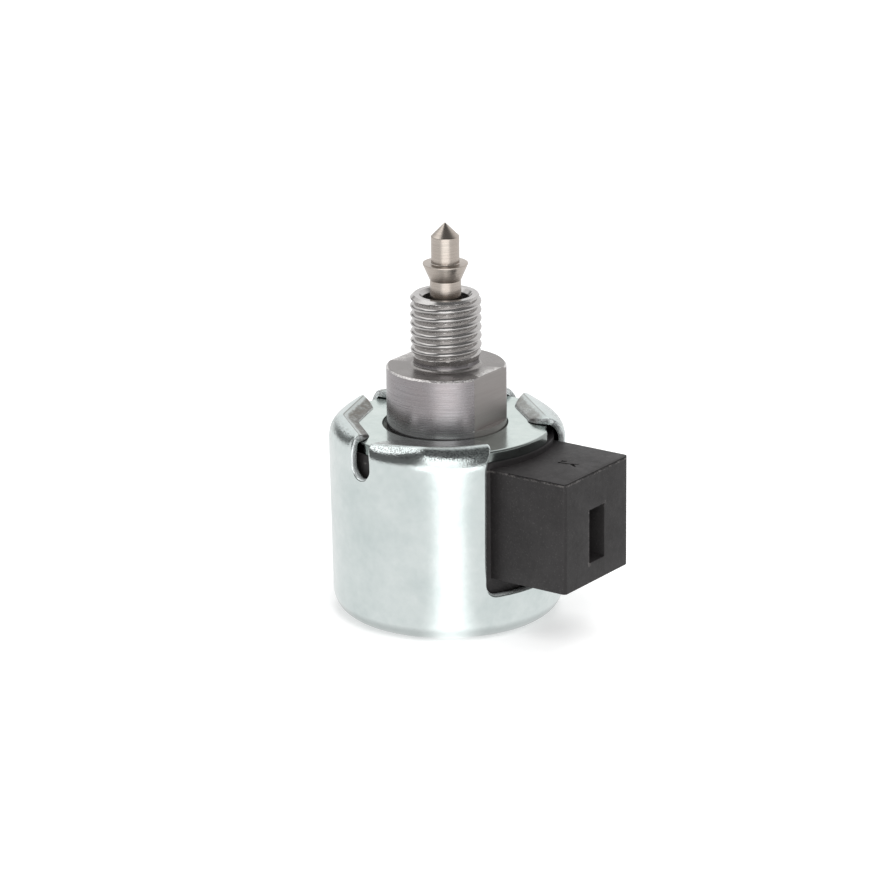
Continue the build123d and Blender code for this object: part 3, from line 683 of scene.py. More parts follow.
def turned_finish(name, colour, lines, rough_low, rough_high, body=None):
    """Turned steel: fine rings, a brown-violet film and a painted highlight along the edges. A body's sizes
    add its flats, thread, a painted highlight on the barrel's top edge and painted shade at the neck's foot.
    """
    look = Surface(name, metallic=1.0)
    rings, ring_height = look.group("Lathe lines", Lines_per_metre=lines)
    film, _ = look.group("Mottle", Size=260.0, Fine_share=0.25)
    base = rings.mix(tint(colour, 0.86), tint(colour, 1.14))
    base = (film * 0.6).mix(base, tint(colour, 0.97, 0.9, 0.88))
    rough = rings.span(0.0, 1.0, rough_high, rough_low)
    rim = look.edge
    metallic = 1.0
    if body:
        height = look.where.part("Z")
        rolled = height.span((body.thread_bottom - 0.1) * MM, body.thread_bottom * MM)
        base = (rolled * 0.85).mix(base, tint(colour, 1.64, 1.66, 1.56))
        half = body.flats / 2
        ground = abs(look.where.part("X")).span((half - 0.03) * MM, (half - 0.01) * MM)
        base = (ground * 0.75).mix(base, tint(colour, 0.97, 0.93, 0.85))
        rough = rough - rolled * 0.1 + ground * 0.1
        # Painted highlight along the edges and the barrel's top chamfer, kept off the flats and mostly off
        # the thread
        rim = rim.math("MAXIMUM", height.between(body.barrel_top - 0.24, body.barrel_top - 0.03, 0.03))
        rim = rim * (1.0 - ground * 0.9) * (1.0 - rolled * 0.7)
        # Painted shade: the barrel's shoulder and the neck's foot are darker and warmer
        shoulder = height.between(body.barrel_top - 0.04, body.barrel_top + 0.35, 0.03)
        base = shoulder.mix(base, tint(colour, 0.8, 0.78, 0.73))
        metallic = 0.92 - ground * 0.12
    # Painted highlight, broken up by noise: the masked edges turn lighter and less metallic
    _, nick = look.group("Mottle", Size=1300.0, Fine_share=0.6)
    edge_glint = rim * nick.span(0.42, 0.56, 0.15, 0.9)
    look.feed("Base Color", edge_glint.mix(base, EDGE_GLINT_STEEL))
    look.feed("Metallic", metallic - edge_glint * 0.6)
    look.feed("Roughness", rough)
    look.bump(ring_height, 0.004)
    return look.material


# Colours on the plastic: dust in its grain, pale torn flash, and the painted shade inside the slot
DUST = (0.2, 0.19, 0.19)
FLASH = (0.5, 0.47, 0.45)
SLOT_SHADE = (0.004, 0.004, 0.004)


def plastic_finish(name, colour, sizes):
    """Moulded charcoal plastic: fine grain, dusty top, pale flash along the top edges and the slot, and
    painted shade inside the slot.
    """
    look = Surface(name, metallic=0.0, specular=0.42)
    specks, grain = look.group("Grit", Size=5200.0, Threshold=0.62)
    cloud, unevenness = look.group("Mottle", Size=300.0, Fine_share=0.4)
    base = cloud.mix(tint(colour, 0.85), tint(colour, 1.25))
    base = (specks * 0.12).mix(base, DUST)
    _, rag = look.group("Mottle", Size=1100.0, Fine_share=0.6)
    torn = rag.span(0.49, 0.58)
    out, aside, height = (look.where.part(letter) for letter in "XYZ")
    half = sizes.width / 2
    upright = out.span((sizes.face - 0.08) * MM, (sizes.face - 0.05) * MM)
    upright = upright.math("MAXIMUM", abs(aside).span((half - 0.08) * MM, (half - 0.05) * MM))
    lip = height.between(sizes.top - 0.38, sizes.top - 0.14, 0.04) * upright
    flash = lip * (look.near((sizes.face, -half, sizes.top - 0.2), 2.2) * 0.25 + torn)
    low = sizes.slot_middle - sizes.slot_height / 2
    high = sizes.slot_middle + sizes.slot_height / 2
    side = -sizes.slot_width / 2
    burr = aside.between(side - 0.16, side, 0.03) * height.between(low, high, 0.05) * upright * 0.6
    for across, up, reach in ((side, high, 0.4), (-side, high, 0.5), (side, low, 0.45)):
        burr = burr + look.near((sizes.face, across, up), reach)
    pale = (flash + burr * torn).math("MINIMUM", 1.0)
    base = (pale * 0.2).mix(base, FLASH)
    # Painted shade inside the terminal slot
    inside = aside.between(side, -side, 0.02) * height.between(low, high, 0.02)
    inside = inside * out.span(sizes.face * MM, (sizes.face - 0.2) * MM)
    look.feed("Base Color", (inside * 0.6).mix(base, SLOT_SHADE))
    look.feed("Roughness", cloud.span(0.0, 1.0, 0.62, 0.5))
    look.bump(grain, 0.012, look.bump(unevenness, 0.02))
    return look.material


def hidden_finish(name, colour, metallic, rough, grain):
    """A finish for the pieces inside: slight clouds and a grain of its own scale."""
    look = Surface(name, metallic=metallic)
    cloud, unevenness = look.group("Mottle", Size=grain, Fine_share=0.4)
    look.feed("Base Color", cloud.mix(tint(colour, 0.8), tint(colour, 1.15)))
    look.feed("Roughness", cloud.span(0.0, 1.0, rough + 0.06, rough - 0.06))
    look.bump(unevenness, 0.01)
    return look.material


# Angles of the slits' middles, and of the seam where the developed sheet starts and ends
SLITS = (-101.3, 80.0, 173.0)
SEAM = -160

# Mesh steps over the base's rounding, the rim's bend and the rounded cut edges, and round the can
BASE_STEPS = 10
BEND_STEPS = 16
EDGE_STEPS = 4
COLUMNS = 360

# Height in millimetres below which the can's wall is plain rings, and the spacing of points above it
RING_TOP = 4.2
WALL_GRID = 0.55
BEND_GRID = 0.17
CREASE_GRID = 0.06

# Degrees beyond its ends within which a flap's form still counts
FLAP_MARGIN = 6

# Straight chords that the flaps are folded along: the middle's angle, the crease's distance from the axis,
# and how much further out than the others the flap's edge lies there
CREASES = (
    (-162, 11.3, 0.3), (-130, 11.3, 0.45), (-79, 11.6, 0.0), (-48, 11.35, 0.0), (51, 10.5, -0.35),
    (105, 11.3, 0.0), (145, 11.3, 0.0),
)


def on_chord(turn, chords):
    """Radius of a hollow with straight sides at an angle in degrees, its corners a little eased."""
    ease = 9.0
    total = 0.0
    for middle, distance in chords:
        slant = math.cos(math.radians(turn - middle))
        if slant > 0.3:
            total += math.exp(-ease * distance / slant)
    return -math.log(total) / ease


class CanSkin:
    """Maps the can's developed sheet, distance round and distance up, to its outer and inner skin."""

    def __init__(self, sizes):
        self.sizes = sizes
        self.edges = [(middle, sizes.flap_edge_distance + extra) for middle, _, extra in CREASES]
        self.creases = [(middle, distance) for middle, distance, _ in CREASES]
        half_slit = math.degrees(sizes.slit_width / 2 / sizes.top_radius)
        low, middle, high = SLITS
        # Each flap's first and last angle, how far its ends spread, its drop, and the side its marks are on
        self.flaps = (
            (low + half_slit, sizes.window_from, -2.0, 3.8, sizes.front_drop, -1),
            (sizes.window_to, middle - half_slit, -6.0, 3.0, sizes.flap_drop, 1),
            (middle + half_slit, high - half_slit, 3.6, -1.8, sizes.flap_drop, -1),
            (high + half_slit, low - half_slit + 360, -2.2, 0.2, sizes.flap_drop, 1),
        )
        line = [self.section(index, CREASES[0][0], 0.0) for index in range(BASE_STEPS + BEND_STEPS + 3)]
        self.heights = [height for _, height in line]
        self.along = [0.0]
        for before, after in zip(line, line[1:]):
            self.along.append(self.along[-1] + math.dist(before, after))
        self.bend_from = self.along[BASE_STEPS + 1]
        self.crease, self.tip = self.along[-2:]

    def section(self, index, turn, depth):
        """One of the section's points at an angle, as (radius, height). Depth is 0 outside and 1 inside."""
        sizes = self.sizes
        wall = sizes.wall * depth
        if index <= BASE_STEPS:
            rise = math.pi / 2 * (index / BASE_STEPS - 1)
            reach = sizes.base_round - wall
            middle = sizes.base_radius - sizes.base_round
            return middle + reach * math.cos(rise), sizes.base_round + reach * math.sin(rise)
        flap, share = next(iter(self.flaps_at(turn, FLAP_MARGIN)), (self.flaps[1], 1))
        droop = sizes.end_droop * smooth_step(1 - share / 0.5) if flap is self.flaps[0] else 0.0
        if index <= BASE_STEPS + BEND_STEPS + 1:
            rise = math.pi / 2 * (index - BASE_STEPS - 1) / BEND_STEPS
            crease = on_chord(turn, self.creases)
            reach = sizes.top_radius - crease - wall
            foot = sizes.crest - sizes.bend_rise
            return crease + reach * math.cos(rise), foot + (sizes.bend_rise - wall - droop) * math.sin(rise)
        lift = sizes.end_lift * smooth_step(1 - share / 0.2) if flap is self.flaps[1] else 0.0
        top = sizes.crest - flap[4] + lift - droop
        under = min(top - sizes.flap_edge, PLATE_HIGH.z + 0.03) + lift * 0.2
        return on_chord(turn, self.edges) - (top - under) * 0.9 * depth, top + (under - top) * depth

    def flaps_at(self, turn, margin):
        """The flaps that lie at an angle, or within a margin of it, and how far along each it falls."""
        found = []
        for flap in self.flaps:
            first, last = flap[:2]
            for lap in (0, 360, -360):
                if first - margin <= turn + lap <= last + margin:
                    found.append((flap, min(1.0, max(0.0, (turn + lap - first) / (last - first)))))
        return found

    def up_at(self, height):
        """Distance up the sheet at which the outer wall reaches a height."""
        index = next(index for index, level in enumerate(self.heights) if level >= height)
        share = (height - self.heights[index - 1]) / (self.heights[index] - self.heights[index - 1])
        return self.along[index - 1] + share * (self.along[index] - self.along[index - 1])

    def flare(self, turn, up):
        """Degrees by which a flap's metal spreads sideways as it is folded in."""
        spread = smooth_step((up - self.bend_from + 0.4) / (self.crease - self.bend_from))
        taper = self.sizes.taper * max(0.0, (up - self.crease) / (self.tip - self.crease))
        for (_, _, at_first, at_last, _, _), share in self.flaps_at(turn, 1):
            return (at_first * spread + taper) * (1 - share) ** 2 + (at_last * spread - taper) * share ** 2
        return 0.0

    def swell(self, turn, up):
        """Millimetres by which the near slit's left side stands out of the wall."""
        side = SLITS[0] - math.degrees(self.sizes.slit_width / 2 / self.sizes.top_radius)
        beside = math.radians(side - turn) * self.sizes.top_radius
        if not -0.2 < beside < 1.2:
            return 0.0
        low = self.up_at(self.sizes.slit_bottom)
        rise = smooth_step((up - low) / 1.5) * smooth_step((self.crease - up) / 1.2)
        return self.sizes.lip * rise * smooth_step(1 - beside / 0.9)

    def point(self, across, up, depth):
        """The point at a depth below a spot of the sheet, both distances in millimetres."""
        turn = math.degrees(across / self.sizes.top_radius)
        turn += self.flare(turn, up)
        index = 1
        while index < len(self.along) - 1 and self.along[index] < up:
            index += 1
        share = (up - self.along[index - 1]) / (self.along[index] - self.along[index - 1])
        r0, z0 = self.section(index - 1, turn, depth)
        r1, z1 = self.section(index, turn, depth)
        radius = r0 + (r1 - r0) * share + self.swell(turn, up)
        return on_circle(radius, z0 + (z1 - z0) * share, math.radians(turn))


def can_outline(skin, start, levels):
    """The developed sheet's outline above a start height, notched for the window and the slits."""
    sizes = skin.sizes
    scale = math.radians(1) * sizes.top_radius
    half = sizes.slit_width / 2
    left_seam, right_seam = SEAM * scale, (SEAM + COLUMNS) * scale
    slit_low = skin.up_at(sizes.slit_bottom)
    notches = []
    for middle in (turn * scale for turn in SLITS):
        notches.append((middle - half, middle + half, slit_low, half * 0.98, sizes.tip_round))
    notches.append((sizes.window_from * scale, sizes.window_to * scale, skin.up_at(sizes.window_bottom),
                    sizes.window_round, sizes.window_tip_round))
    corners = [(left_seam, start, 0), (right_seam, start, 0)]
    corners += [(right_seam, level, 0) for level in (*levels, skin.tip)]
    for left, right, low, rounding, tip_round in sorted(notches, reverse=True):
        corners += [(right, skin.tip, tip_round), (right, low, rounding), (left, low, rounding),
                    (left, skin.tip, tip_round)]
    corners += [(left_seam, level, 0) for level in (skin.tip, *reversed(levels))]
    return divided(rounded(corners, 10), scale)


def can_sheet(sizes):
    """The can as one closed bmesh: full rings at the base, a cut and folded wall above."""
    skin = CanSkin(sizes)
    scale = math.radians(1) * sizes.top_radius
    start = skin.up_at(RING_TOP)
    left, right = SEAM * scale, (SEAM + COLUMNS) * scale
    rounding = sizes.edge_round
    insets = []
    for step in range(EDGE_STEPS + 1):
        turn = math.pi / 2 * step / EDGE_STEPS
        insets.append((rounding * (1 - math.sin(turn)), rounding * (1 - math.cos(turn)) / sizes.wall))
    deepest = insets[-1][1]
    outline = can_outline(skin, start, [skin.crease] + [skin.tip - inset for inset, _ in insets[:-1]])

    def on_seam(spot):
        return spot.x < left + 1e-4 or spot.x > right - 1e-4 or spot.y < start + 1e-4

    tree = KDTree(len(outline))
    for index, spot in enumerate(outline):
        tree.insert((spot.x, spot.y, 0), index)
    tree.balance()
    spots, sinks = list(outline), []
    for spot in outline:
        gap = next((sink for inset, sink in insets if abs(skin.tip - inset - spot.y) < 1e-4), 0.0)
        sinks.append(gap if on_seam(spot) else deepest)
    for index, spot in enumerate(outline):
        if not on_seam(spot):
            along = outline[(index + 1) % len(outline)] - outline[index - 1]
            inward = Vector((-along.y, along.x)).normalized()
            spots += [spot + inward * inset for inset, _ in insets[:-1]]
            sinks += [sink for _, sink in insets[:-1]]
    ups = []
    up = start
    while up < skin.tip:
        up += WALL_GRID if up < skin.bend_from - 0.6 else BEND_GRID
        if abs(up - skin.crease) > 2 * CREASE_GRID:
            ups.append(up)
    for up in (*ups, skin.crease - CREASE_GRID, skin.crease, skin.crease + CREASE_GRID):
        for column in range(1, COLUMNS):
            spot = Vector(((SEAM + column) * scale, up))
            if up < skin.tip - 0.05 and tree.find((spot.x, spot.y, 0))[2] > rounding + 0.09:
                spots.append(spot)
                sinks.append(0.0)
    flat, _, faces, origins, *_ = delaunay_2d_cdt(spots, [], [list(range(len(outline)))], 1, 1e-6)
    made = bmesh.new()
    edge_layer = made.verts.layers.float.new("edge")
    fold_layer = made.verts.layers.float.new("fold")
    outer, inner = [], []
    for spot, origin in zip(flat, origins):
        sink = sinks[origin[0]] if origin else 0.0
        at_cut = bool(origin) and origin[0] < len(outline) and not on_seam(spot)
        outer.append(made.verts.new(skin.point(spot.x, spot.y, sink)))
        inner.append(made.verts.new(skin.point(spot.x, spot.y, 1.0)))
        # The edge mask carries the cut edges' painted highlight: full on the outer rounding, a quarter at the
        # cut face's inner corner, so the cut face is painted darker inward
        outer[-1][edge_layer] = smooth_step(sink / deepest * 2)
        inner[-1][edge_layer] = 0.25 * at_cut
        share = min(1.0, max(0.0, (spot.y - skin.crease) / (skin.tip - skin.crease)))
        sign = next((flap[5] for flap, _ in skin.flaps_at(spot.x / scale, FLAP_MARGIN)), 1)
        outer[-1][fold_layer] = share * sign
    sides = set()
    for face in faces:
        made.faces.new([outer[index] for index in face])
        made.faces.new([inner[index] for index in reversed(face)])
        sides.update(zip(face, face[1:] + face[:1]))
    for first, second in sides:
        middle = (flat[first] + flat[second]) / 2
        if (second, first) not in sides and not on_seam(middle):
            made.faces.new([outer[second], outer[first], inner[first], inner[second]])
    rows = [level for level in skin.along if level < start - 0.05] + [start]
    for depth in (0.0, 1.0):
        below = [made.verts.new(on_circle(0, sizes.wall * depth, 0))] * COLUMNS
        for level in rows:
            spots = [skin.point((SEAM + column) * scale, level, depth) for column in range(COLUMNS)]
            ring = [made.verts.new(spot) for spot in spots]
            for column in range(COLUMNS):
                beside = (column + 1) % COLUMNS
                corners = dict.fromkeys([below[column], below[beside], ring[beside], ring[column]])
                made.faces.new(list(corners))
            below = ring
    bmesh.ops.remove_doubles(made, verts=made.verts, dist=2e-6)
    loose = [vertex for vertex in made.verts if not vertex.link_faces]
    bmesh.ops.delete(made, geom=loose, context="VERTS")
    return made


class Step:
    """What the build steps share."""

    def execute(self, context):
        self.build(context.scene)
        return {"FINISHED"}


class SOLENOID_OT_can(Step, bpy.types.Operator):
    """Builds the crimped can with its window, slits and folded flaps"""

    bl_idname = "solenoid.can"
    bl_label = "Can"

    def build(self, scene):
        material = zinc_finish("Zinc plate", finishes().zinc, True, 190.0)
        put("can", can_sheet(scene.solenoid_can), 45, material, "zinc_steel", "can_shell")


class SOLENOID_OT_plate(Step, bpy.types.Operator):
    """Builds the thick washer under the flaps"""

    bl_idname = "solenoid.plate"
    bl_label = "Top plate"

    def build(self, scene):
        sizes = scene.solenoid_plate
        low, high = PLATE_LOW.z, PLATE_HIGH.z
        notch_width, ease = 45, 9

        def off_axis(radius, height, turn):
            share = smooth_step((sizes.radius - radius) / (sizes.radius - sizes.hole) * 2 - 1)
            shift = share * sizes.offset * math.cos(turn - math.radians(sizes.offset_turn))
            beside = math.degrees(turn) - sizes.notch_from
            notch = smooth_step(beside / ease) * smooth_step((notch_width - beside) / ease)
            return radius + shift - (1 - share) * sizes.notch * notch

        corners = [(sizes.hole, low, 0.05), (sizes.radius, low, 0.08), (sizes.radius, high, sizes.edge),
                   (sizes.hole, high, 0.1)]
        material = zinc_finish("Plate zinc", finishes().plate, False, 230.0)
        put("top_washer", lathe(corners, 240, shape=off_axis), 40, material, "zinc_plate", "top_plate")


def node_tree(name, inputs):
    """An empty Geometry Nodes tree, the values that it is given, and a short way to add a node to it."""
    tree, given = new_tree(name, "GeometryNodeTree", inputs)

    def add(kind, key=0, node_settings=None, **inputs):
        """An output of a new node, its inputs named with underscores for spaces."""
        inputs = {title.replace("_", " "): value for title, value in inputs.items()}
        return output(tree, kind, inputs, key, **(node_settings or {}))

    return tree, given, add


def dressed(tree, add, geometry, material):
    """Ends a Geometry Nodes tree: instances made real, material set."""
    real = add("GeometryNodeRealizeInstances", Geometry=geometry)
    result = add("GeometryNodeSetMaterial", Geometry=real, Material=material)
    give_back(tree, "NodeSocketGeometry", {"Geometry": result})
    return tree


def thread_tree(material):
    """Geometry Nodes that roll a grid into a threaded sleeve with a chamfered end."""
    titles = ("Crest", "Depth", "Pitch", "Bottom", "Top", "Undercut", "Tip", "Chamfer", "Start")
    tree, value, add = node_tree("Threaded sleeve", {**dict.fromkeys(titles, 0.0), "Columns": 0, "Rows": 0})
    crest, depth, pitch, bottom, top, undercut, tip, chamfer, start = (value[title] for title in titles)
    grid = add("GeometryNodeMeshGrid", Size_X=1.0, Size_Y=1.0, Vertices_X=value["Columns"] + 1.0,
               Vertices_Y=value["Rows"])
    place = add("GeometryNodeInputPosition")
    round_share = place.part("X") + 0.5
    height = (place.part("Y") + 0.5) * (top - bottom) + bottom
    phase = (height / pitch - (round_share + start)).math("FRACT")
    form = abs(phase * 2.0 - 1.0).math("POWER", 1.9)
    cut = crest - form * depth
    tip_line = (top - height) * ((crest - tip) / chamfer) + tip
    foot_line = (height - bottom) * 0.4 + undercut
    reach = cut.math("MINIMUM", tip_line).math("MINIMUM", foot_line)
    turn = round_share * (2 * math.pi)
    spot = add("ShaderNodeCombineXYZ", X=reach * turn.math("COSINE"), Y=reach * turn.math("SINE"), Z=height)
    rolled = add("GeometryNodeSetPosition", Geometry=grid, Position=spot)
    closed = add("GeometryNodeMergeByDistance", Geometry=rolled, Distance=1e-6)
    return dressed(tree, add, closed, material)


def grown(name, tree, data, lengths, **others):
    """The plain mesh that a Geometry Nodes tree makes of an object's data. Lengths in millimetres."""
    piece = linked(name, data)
    modifier = piece.modifiers.new(name, "NODES")
    modifier.node_group = tree
    sockets = {item.name: item.identifier for item in tree.interface.items_tree if item.in_out == "INPUT"}
    for key, value in {**{key: value * MM for key, value in lengths.items()}, **others}.items():
        modifier[sockets[key]] = value
    return settled(piece)


class SOLENOID_OT_body(Step, bpy.types.Operator):
    """Builds the valve body: flange, barrel with wrench flats, undercut and threaded stub"""

    bl_idname = "solenoid.body"
    bl_label = "Valve body"

    def build(self, scene):
        sizes = scene.solenoid_body
        material = turned_finish("Turned steel", finishes().turned, 9000.0, 0.2, 0.34, sizes)
        low, top = BODY_LOW.z, BODY_HIGH.z
        lengths = {
            "Crest": sizes.thread,
            "Depth": sizes.depth,
            "Pitch": sizes.pitch,
            "Bottom": sizes.thread_bottom,
            "Top": top,
            "Undercut": sizes.undercut,
            "Tip": sizes.tip,
            "Chamfer": sizes.tip_chamfer,
        }
        sleeve = grown("thread", thread_tree(material), bpy.data.meshes.new("thread_seed"), lengths,
                       Start=sizes.start / 360, Columns=sizes.columns, Rows=170)
        flange_thickness, mouth_depth, chamfer = 1.25, 0.45, 0.22
        flange_low, flange_high = PLATE_LOW.z - flange_thickness, PLATE_LOW.z
        needle_bore, bore_floor, skirt, flange = 2.1, 20.2, 4.5, 8.6
        corners = [
            (sizes.tip, top, 0),
            (sizes.mouth, top, 0.05),
            (sizes.bore, top - mouth_depth, 0.05),
            (sizes.bore, bore_floor, 0),
            (needle_bore, bore_floor, 0),
            (needle_bore, low, 0),
            (skirt, low, 0.15),
            (skirt, flange_low, 0),
            (flange, flange_low, 0.1),
            (flange, flange_high, 0),
            (sizes.barrel, flange_high, 0),
            (sizes.barrel, sizes.flat_bottom, 0),
            (sizes.barrel, sizes.flat_bottom + 0.001, 0),
            (sizes.barrel, sizes.barrel_top - chamfer, 0.08),
            (sizes.barrel - chamfer, sizes.barrel_top, 0.08),
            (sizes.undercut, sizes.barrel_top, 0.4),
            (sizes.undercut, sizes.thread_bottom, 0),
        ]

        def flattened(radius, height, turn):
            if height <= sizes.flat_bottom or height > sizes.barrel_top + 0.01:
                return radius
            return min(radius, sizes.flats / 2 / max(1e-3, abs(math.cos(turn))))

        made = lathe(corners, sizes.columns, closed=False, shape=flattened)
        made.from_mesh(sleeve)
        bpy.data.meshes.remove(sleeve)
        bmesh.ops.remove_doubles(made, verts=made.verts, dist=2e-6)
        put("valve_stem", made, 26.5, material, "turned_steel", "valve_body")


class SOLENOID_OT_needle(Step, bpy.types.Operator):
    """Builds the needle with its collar and cone tip"""

    bl_idname = "solenoid.needle"
    bl_label = "Needle"

    def build(self, scene):
        sizes = scene.solenoid_needle
        low, apex = NEEDLE_LOW.z, NEEDLE_HIGH.z
        blunt = 0.05
        corners = [
            (0.0, low, 0),
            (sizes.shank, low, 0.15),
            (sizes.shank, sizes.neck, 0.1),
            (sizes.collar, sizes.collar_top - sizes.rim, 0.05),
            (sizes.collar, sizes.collar_top, 0.04),
            (sizes.tip_shank, sizes.collar_top, 0.08),
            (sizes.tip_shank, apex - sizes.tip_shank + blunt, 0.06),
            (blunt, apex, 0),
            (0.0, apex, 0),
        ]
        material = turned_finish("Needle steel", finishes().needle, 14000.0, 0.22, 0.34)
        made = lathe(corners, 128, closed=False)
        put("valve_needle", made, 30, material, "needle_steel", "needle", body=MOVING)


def carved(mesh, cutter):
    """Cuts one closed mesh out of another, and gives back the plain mesh."""
    piece = linked("stock", mesh)
    tool = linked("tool", cutter)
    modifier = piece.modifiers.new("cut", "BOOLEAN")
    modifier.operation = "DIFFERENCE"
    modifier.solver = "EXACT"
    modifier.object = tool
    result = settled(piece)
    bpy.data.objects.remove(tool)
    return result


def prism(points, start, end, lying=False):
    """A closed mesh on a flat outline in millimetres, upright from start to end, or lying out along X."""
    made = bmesh.new()
    ends = []
    for place in (start, end):
        spots = [(place, *point) if lying else (*point, place) for point in points]
        ends.append([made.verts.new(Vector(spot) * MM) for spot in spots])
        made.faces.new(ends[-1])
    for index in range(len(points)):
        beside = (index + 1) % len(points)
        made.faces.new([ends[0][index], ends[0][beside], ends[1][beside], ends[1][index]])
    bmesh.ops.recalc_face_normals(made, faces=made.faces)
    return as_mesh(made, "prism")


def rectangle(low, high):
    """The corners of a rectangle between two of them."""
    (x0, y0), (x1, y1) = low, high
    return [(x0, y0), (x1, y0), (x1, y1), (x0, y1)]


def flash_tree(material):
    """Geometry Nodes that lay a ragged burr of moulding flash along a path."""
    inputs = {"Geometry": None, "Size": 0.0, "Spacing": 0.0, "Seed": 0.0}
    tree, value, add = node_tree("Moulding flash", inputs)
    path = add("GeometryNodeMeshToCurve", Mesh=value["Geometry"])
    by_length = {"mode": "LENGTH"}
    dense = add("GeometryNodeResampleCurve", node_settings=by_length, Curve=path, Length=value["Spacing"])
    place = add("GeometryNodeInputPosition")
    rag = add("ShaderNodeTexNoise", node_settings={"noise_dimensions": "4D"}, Vector=place, W=value["Seed"],
              Scale=1400.0)
    swell = rag.span(0.42, 0.68, 0.25, 1.5)
    fat = add("GeometryNodeSetCurveRadius", Curve=dense, Radius=swell)
    ring = add("GeometryNodeCurvePrimitiveCircle", Resolution=6, Radius=value["Size"])
    tube = add("GeometryNodeCurveToMesh", Curve=fat, Profile_Curve=ring, Fill_Caps=True, Scale=swell)
    return dressed(tree, add, tube, material)


# Strokes of the snapped-off gate's mark in the block's top: both ends as (distance out, aside), and the width
GATE_STROKES = (
    ((15.15, -0.22), (17.0, 0.16), 0.34),
    ((15.2, 0.4), (15.8, 0.6), 0.44),
    ((16.7, 0.14), (17.5, 0.5), 0.3),
    ((16.65, 0.2), (17.6, -0.4), 0.42),
)

# How far below the block's top the flash and the groove over it lie, in millimetres
FLASH_DROP = 0.26
GROOVE_DROP = 0.17


class SOLENOID_OT_plug(Step, bpy.types.Operator):
    """Builds the moulded jacket, the connector block with its slot, and the moulding flash"""

    bl_idname = "solenoid.plug"
    bl_label = "Connector"

    def recesses(self, sizes, start):
        """Cutters for the gate's mark in the top and for the thin groove under the top's edges."""
        cutters = []
        for first, last, width in GATE_STROKES:
            first, last = Vector(first), Vector(last)
            aside = (last - first).orthogonal().normalized() * width / 2
            corners = [first - aside, last - aside * 0.5, last + aside * 0.5, first + aside]
            cutters.append(prism(corners, sizes.top - sizes.recess, sizes.top + 1))
        inner, outer = sizes.width / 2 - sizes.groove, sizes.width / 2 + 1
        back, end = sizes.face - sizes.groove, sizes.face + 1
        level = sizes.top - GROOVE_DROP
        for low, high in (((start, -outer), (end, -inner)), ((start, inner), (end, outer)),
                          ((back, -outer), (end, outer))):
            cutters.append(prism(rectangle(low, high), level, level + sizes.groove))
        return cutters

    def block(self, sizes, plan, start):
        """The block with its slot, its bevelled edges and its small marks, as a bmesh."""
        low = sizes.slot_middle - sizes.slot_height / 2
        high = sizes.slot_middle + sizes.slot_height / 2
        half = sizes.slot_width / 2
        slot = prism(rectangle((-half, low), (half, high)), sizes.slot_back, sizes.face + 1, lying=True)
        made = as_bmesh(carved(prism(plan, sizes.bottom, sizes.top), slot))
        bmesh.ops.remove_doubles(made, verts=made.verts, dist=1e-6)
        made.normal_update()
        sharp = [edge for edge in made.edges if edge.calc_face_angle(0.0) > math.radians(50)]
        bmesh.ops.bevel(made, geom=sharp, offset=sizes.edge * MM, segments=2, affect="EDGES", profile=0.6)
        block = as_mesh(made, "block")
        for cutter in self.recesses(sizes, start):
            block = carved(block, cutter)
        return as_bmesh(block)

    def build(self, scene):
        sizes = scene.solenoid_plug
        material = plastic_finish("Charcoal plastic", finishes().plastic, sizes)
        look = material, "black_plastic"
        half = sizes.width / 2
        back = 8.5
        start = sizes.jacket + 0.6
        plan = rounded([(back, -half, 0), (sizes.face, -half, sizes.corner), (sizes.face, half, sizes.corner),
                        (back, half, 0)], 8)
        put("connector_block", self.block(sizes, plan, start), 30, *look, "connector_housing")
        low, high, chamfer = HOUSING_LOW.z, HOUSING_HIGH.z, 0.5
        jacket = [(9.0, low, 0), (sizes.jacket - chamfer, low, 0.1), (sizes.jacket, low + chamfer, 0.1),
                  (sizes.jacket, high, 0.1), (8.75, high, 0)]
        put("coil_jacket", lathe(jacket, 180), 30, *look, "connector_housing")
        rim = ((start, -half), *plan[1:-1], (start, half))
        path = [Vector((*spot, sizes.top - FLASH_DROP)) * MM for spot in rim]
        line = bpy.data.meshes.new("path")
        line.from_pydata(path, [(index, index + 1) for index in range(len(path) - 1)], [])
        lengths = {"Size": sizes.flash, "Spacing": sizes.flash_step}
        made = as_bmesh(grown("flash", flash_tree(material), line, lengths, Seed=3.0))
        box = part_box("connector_housing")
        for vertex in made.verts:
            vertex.co = Vector(max(a, min(b, c)) for a, b, c in zip(*box, vertex.co))
        put("moulding_flash", made, 30, *look)


def spring_tree(material):
    """Geometry Nodes that wind a round wire into a coil spring."""
    titles = ("Wire", "Radius", "Turns", "Bottom", "Height")
    tree, value, add = node_tree("Coil spring", dict.fromkeys(titles, 0.0))
    radius = value["Radius"]
    coil = add("GeometryNodeCurveSpiral", Resolution=24, Rotations=value["Turns"], Start_Radius=radius,
               End_Radius=radius, Height=value["Height"], Reverse=True)
    lift = add("ShaderNodeCombineXYZ", Z=value["Bottom"])
    raised = add("GeometryNodeSetPosition", Geometry=coil, Offset=lift)
    ring = add("GeometryNodeCurvePrimitiveCircle", Resolution=12, Radius=value["Wire"])
    tube = add("GeometryNodeCurveToMesh", Curve=raised, Profile_Curve=ring, Fill_Caps=True)
    return dressed(tree, add, tube, material)


class SOLENOID_OT_spring(Step, bpy.types.Operator):
    """Builds the return spring at the length of its CAD node; the real spring shortens as the plunger goes
    in, this one stays as built
    """

    bl_idname = "solenoid.spring"
    bl_label = "Return spring"

    def build(self, scene):
        sizes = scene.solenoid_spring
        material = hidden_finish("Spring steel", (0.42, 0.43, 0.45), 1.0, 0.3, 900.0)
        full = SPRING_HIGH.z - SPRING_LOW.z
        lengths = {"Wire": sizes.wire, "Radius": sizes.radius, "Bottom": SPRING_LOW.z + sizes.wire,
                   "Height": full - 2 * sizes.wire}
        seed = bpy.data.meshes.new("spring_seed")
        made = as_bmesh(grown("spring", spring_tree(material), seed, lengths, Turns=float(sizes.turns)))
        piece = put("spring", made, 50, material, "spring_steel", "return_spring")
        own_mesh(piece)


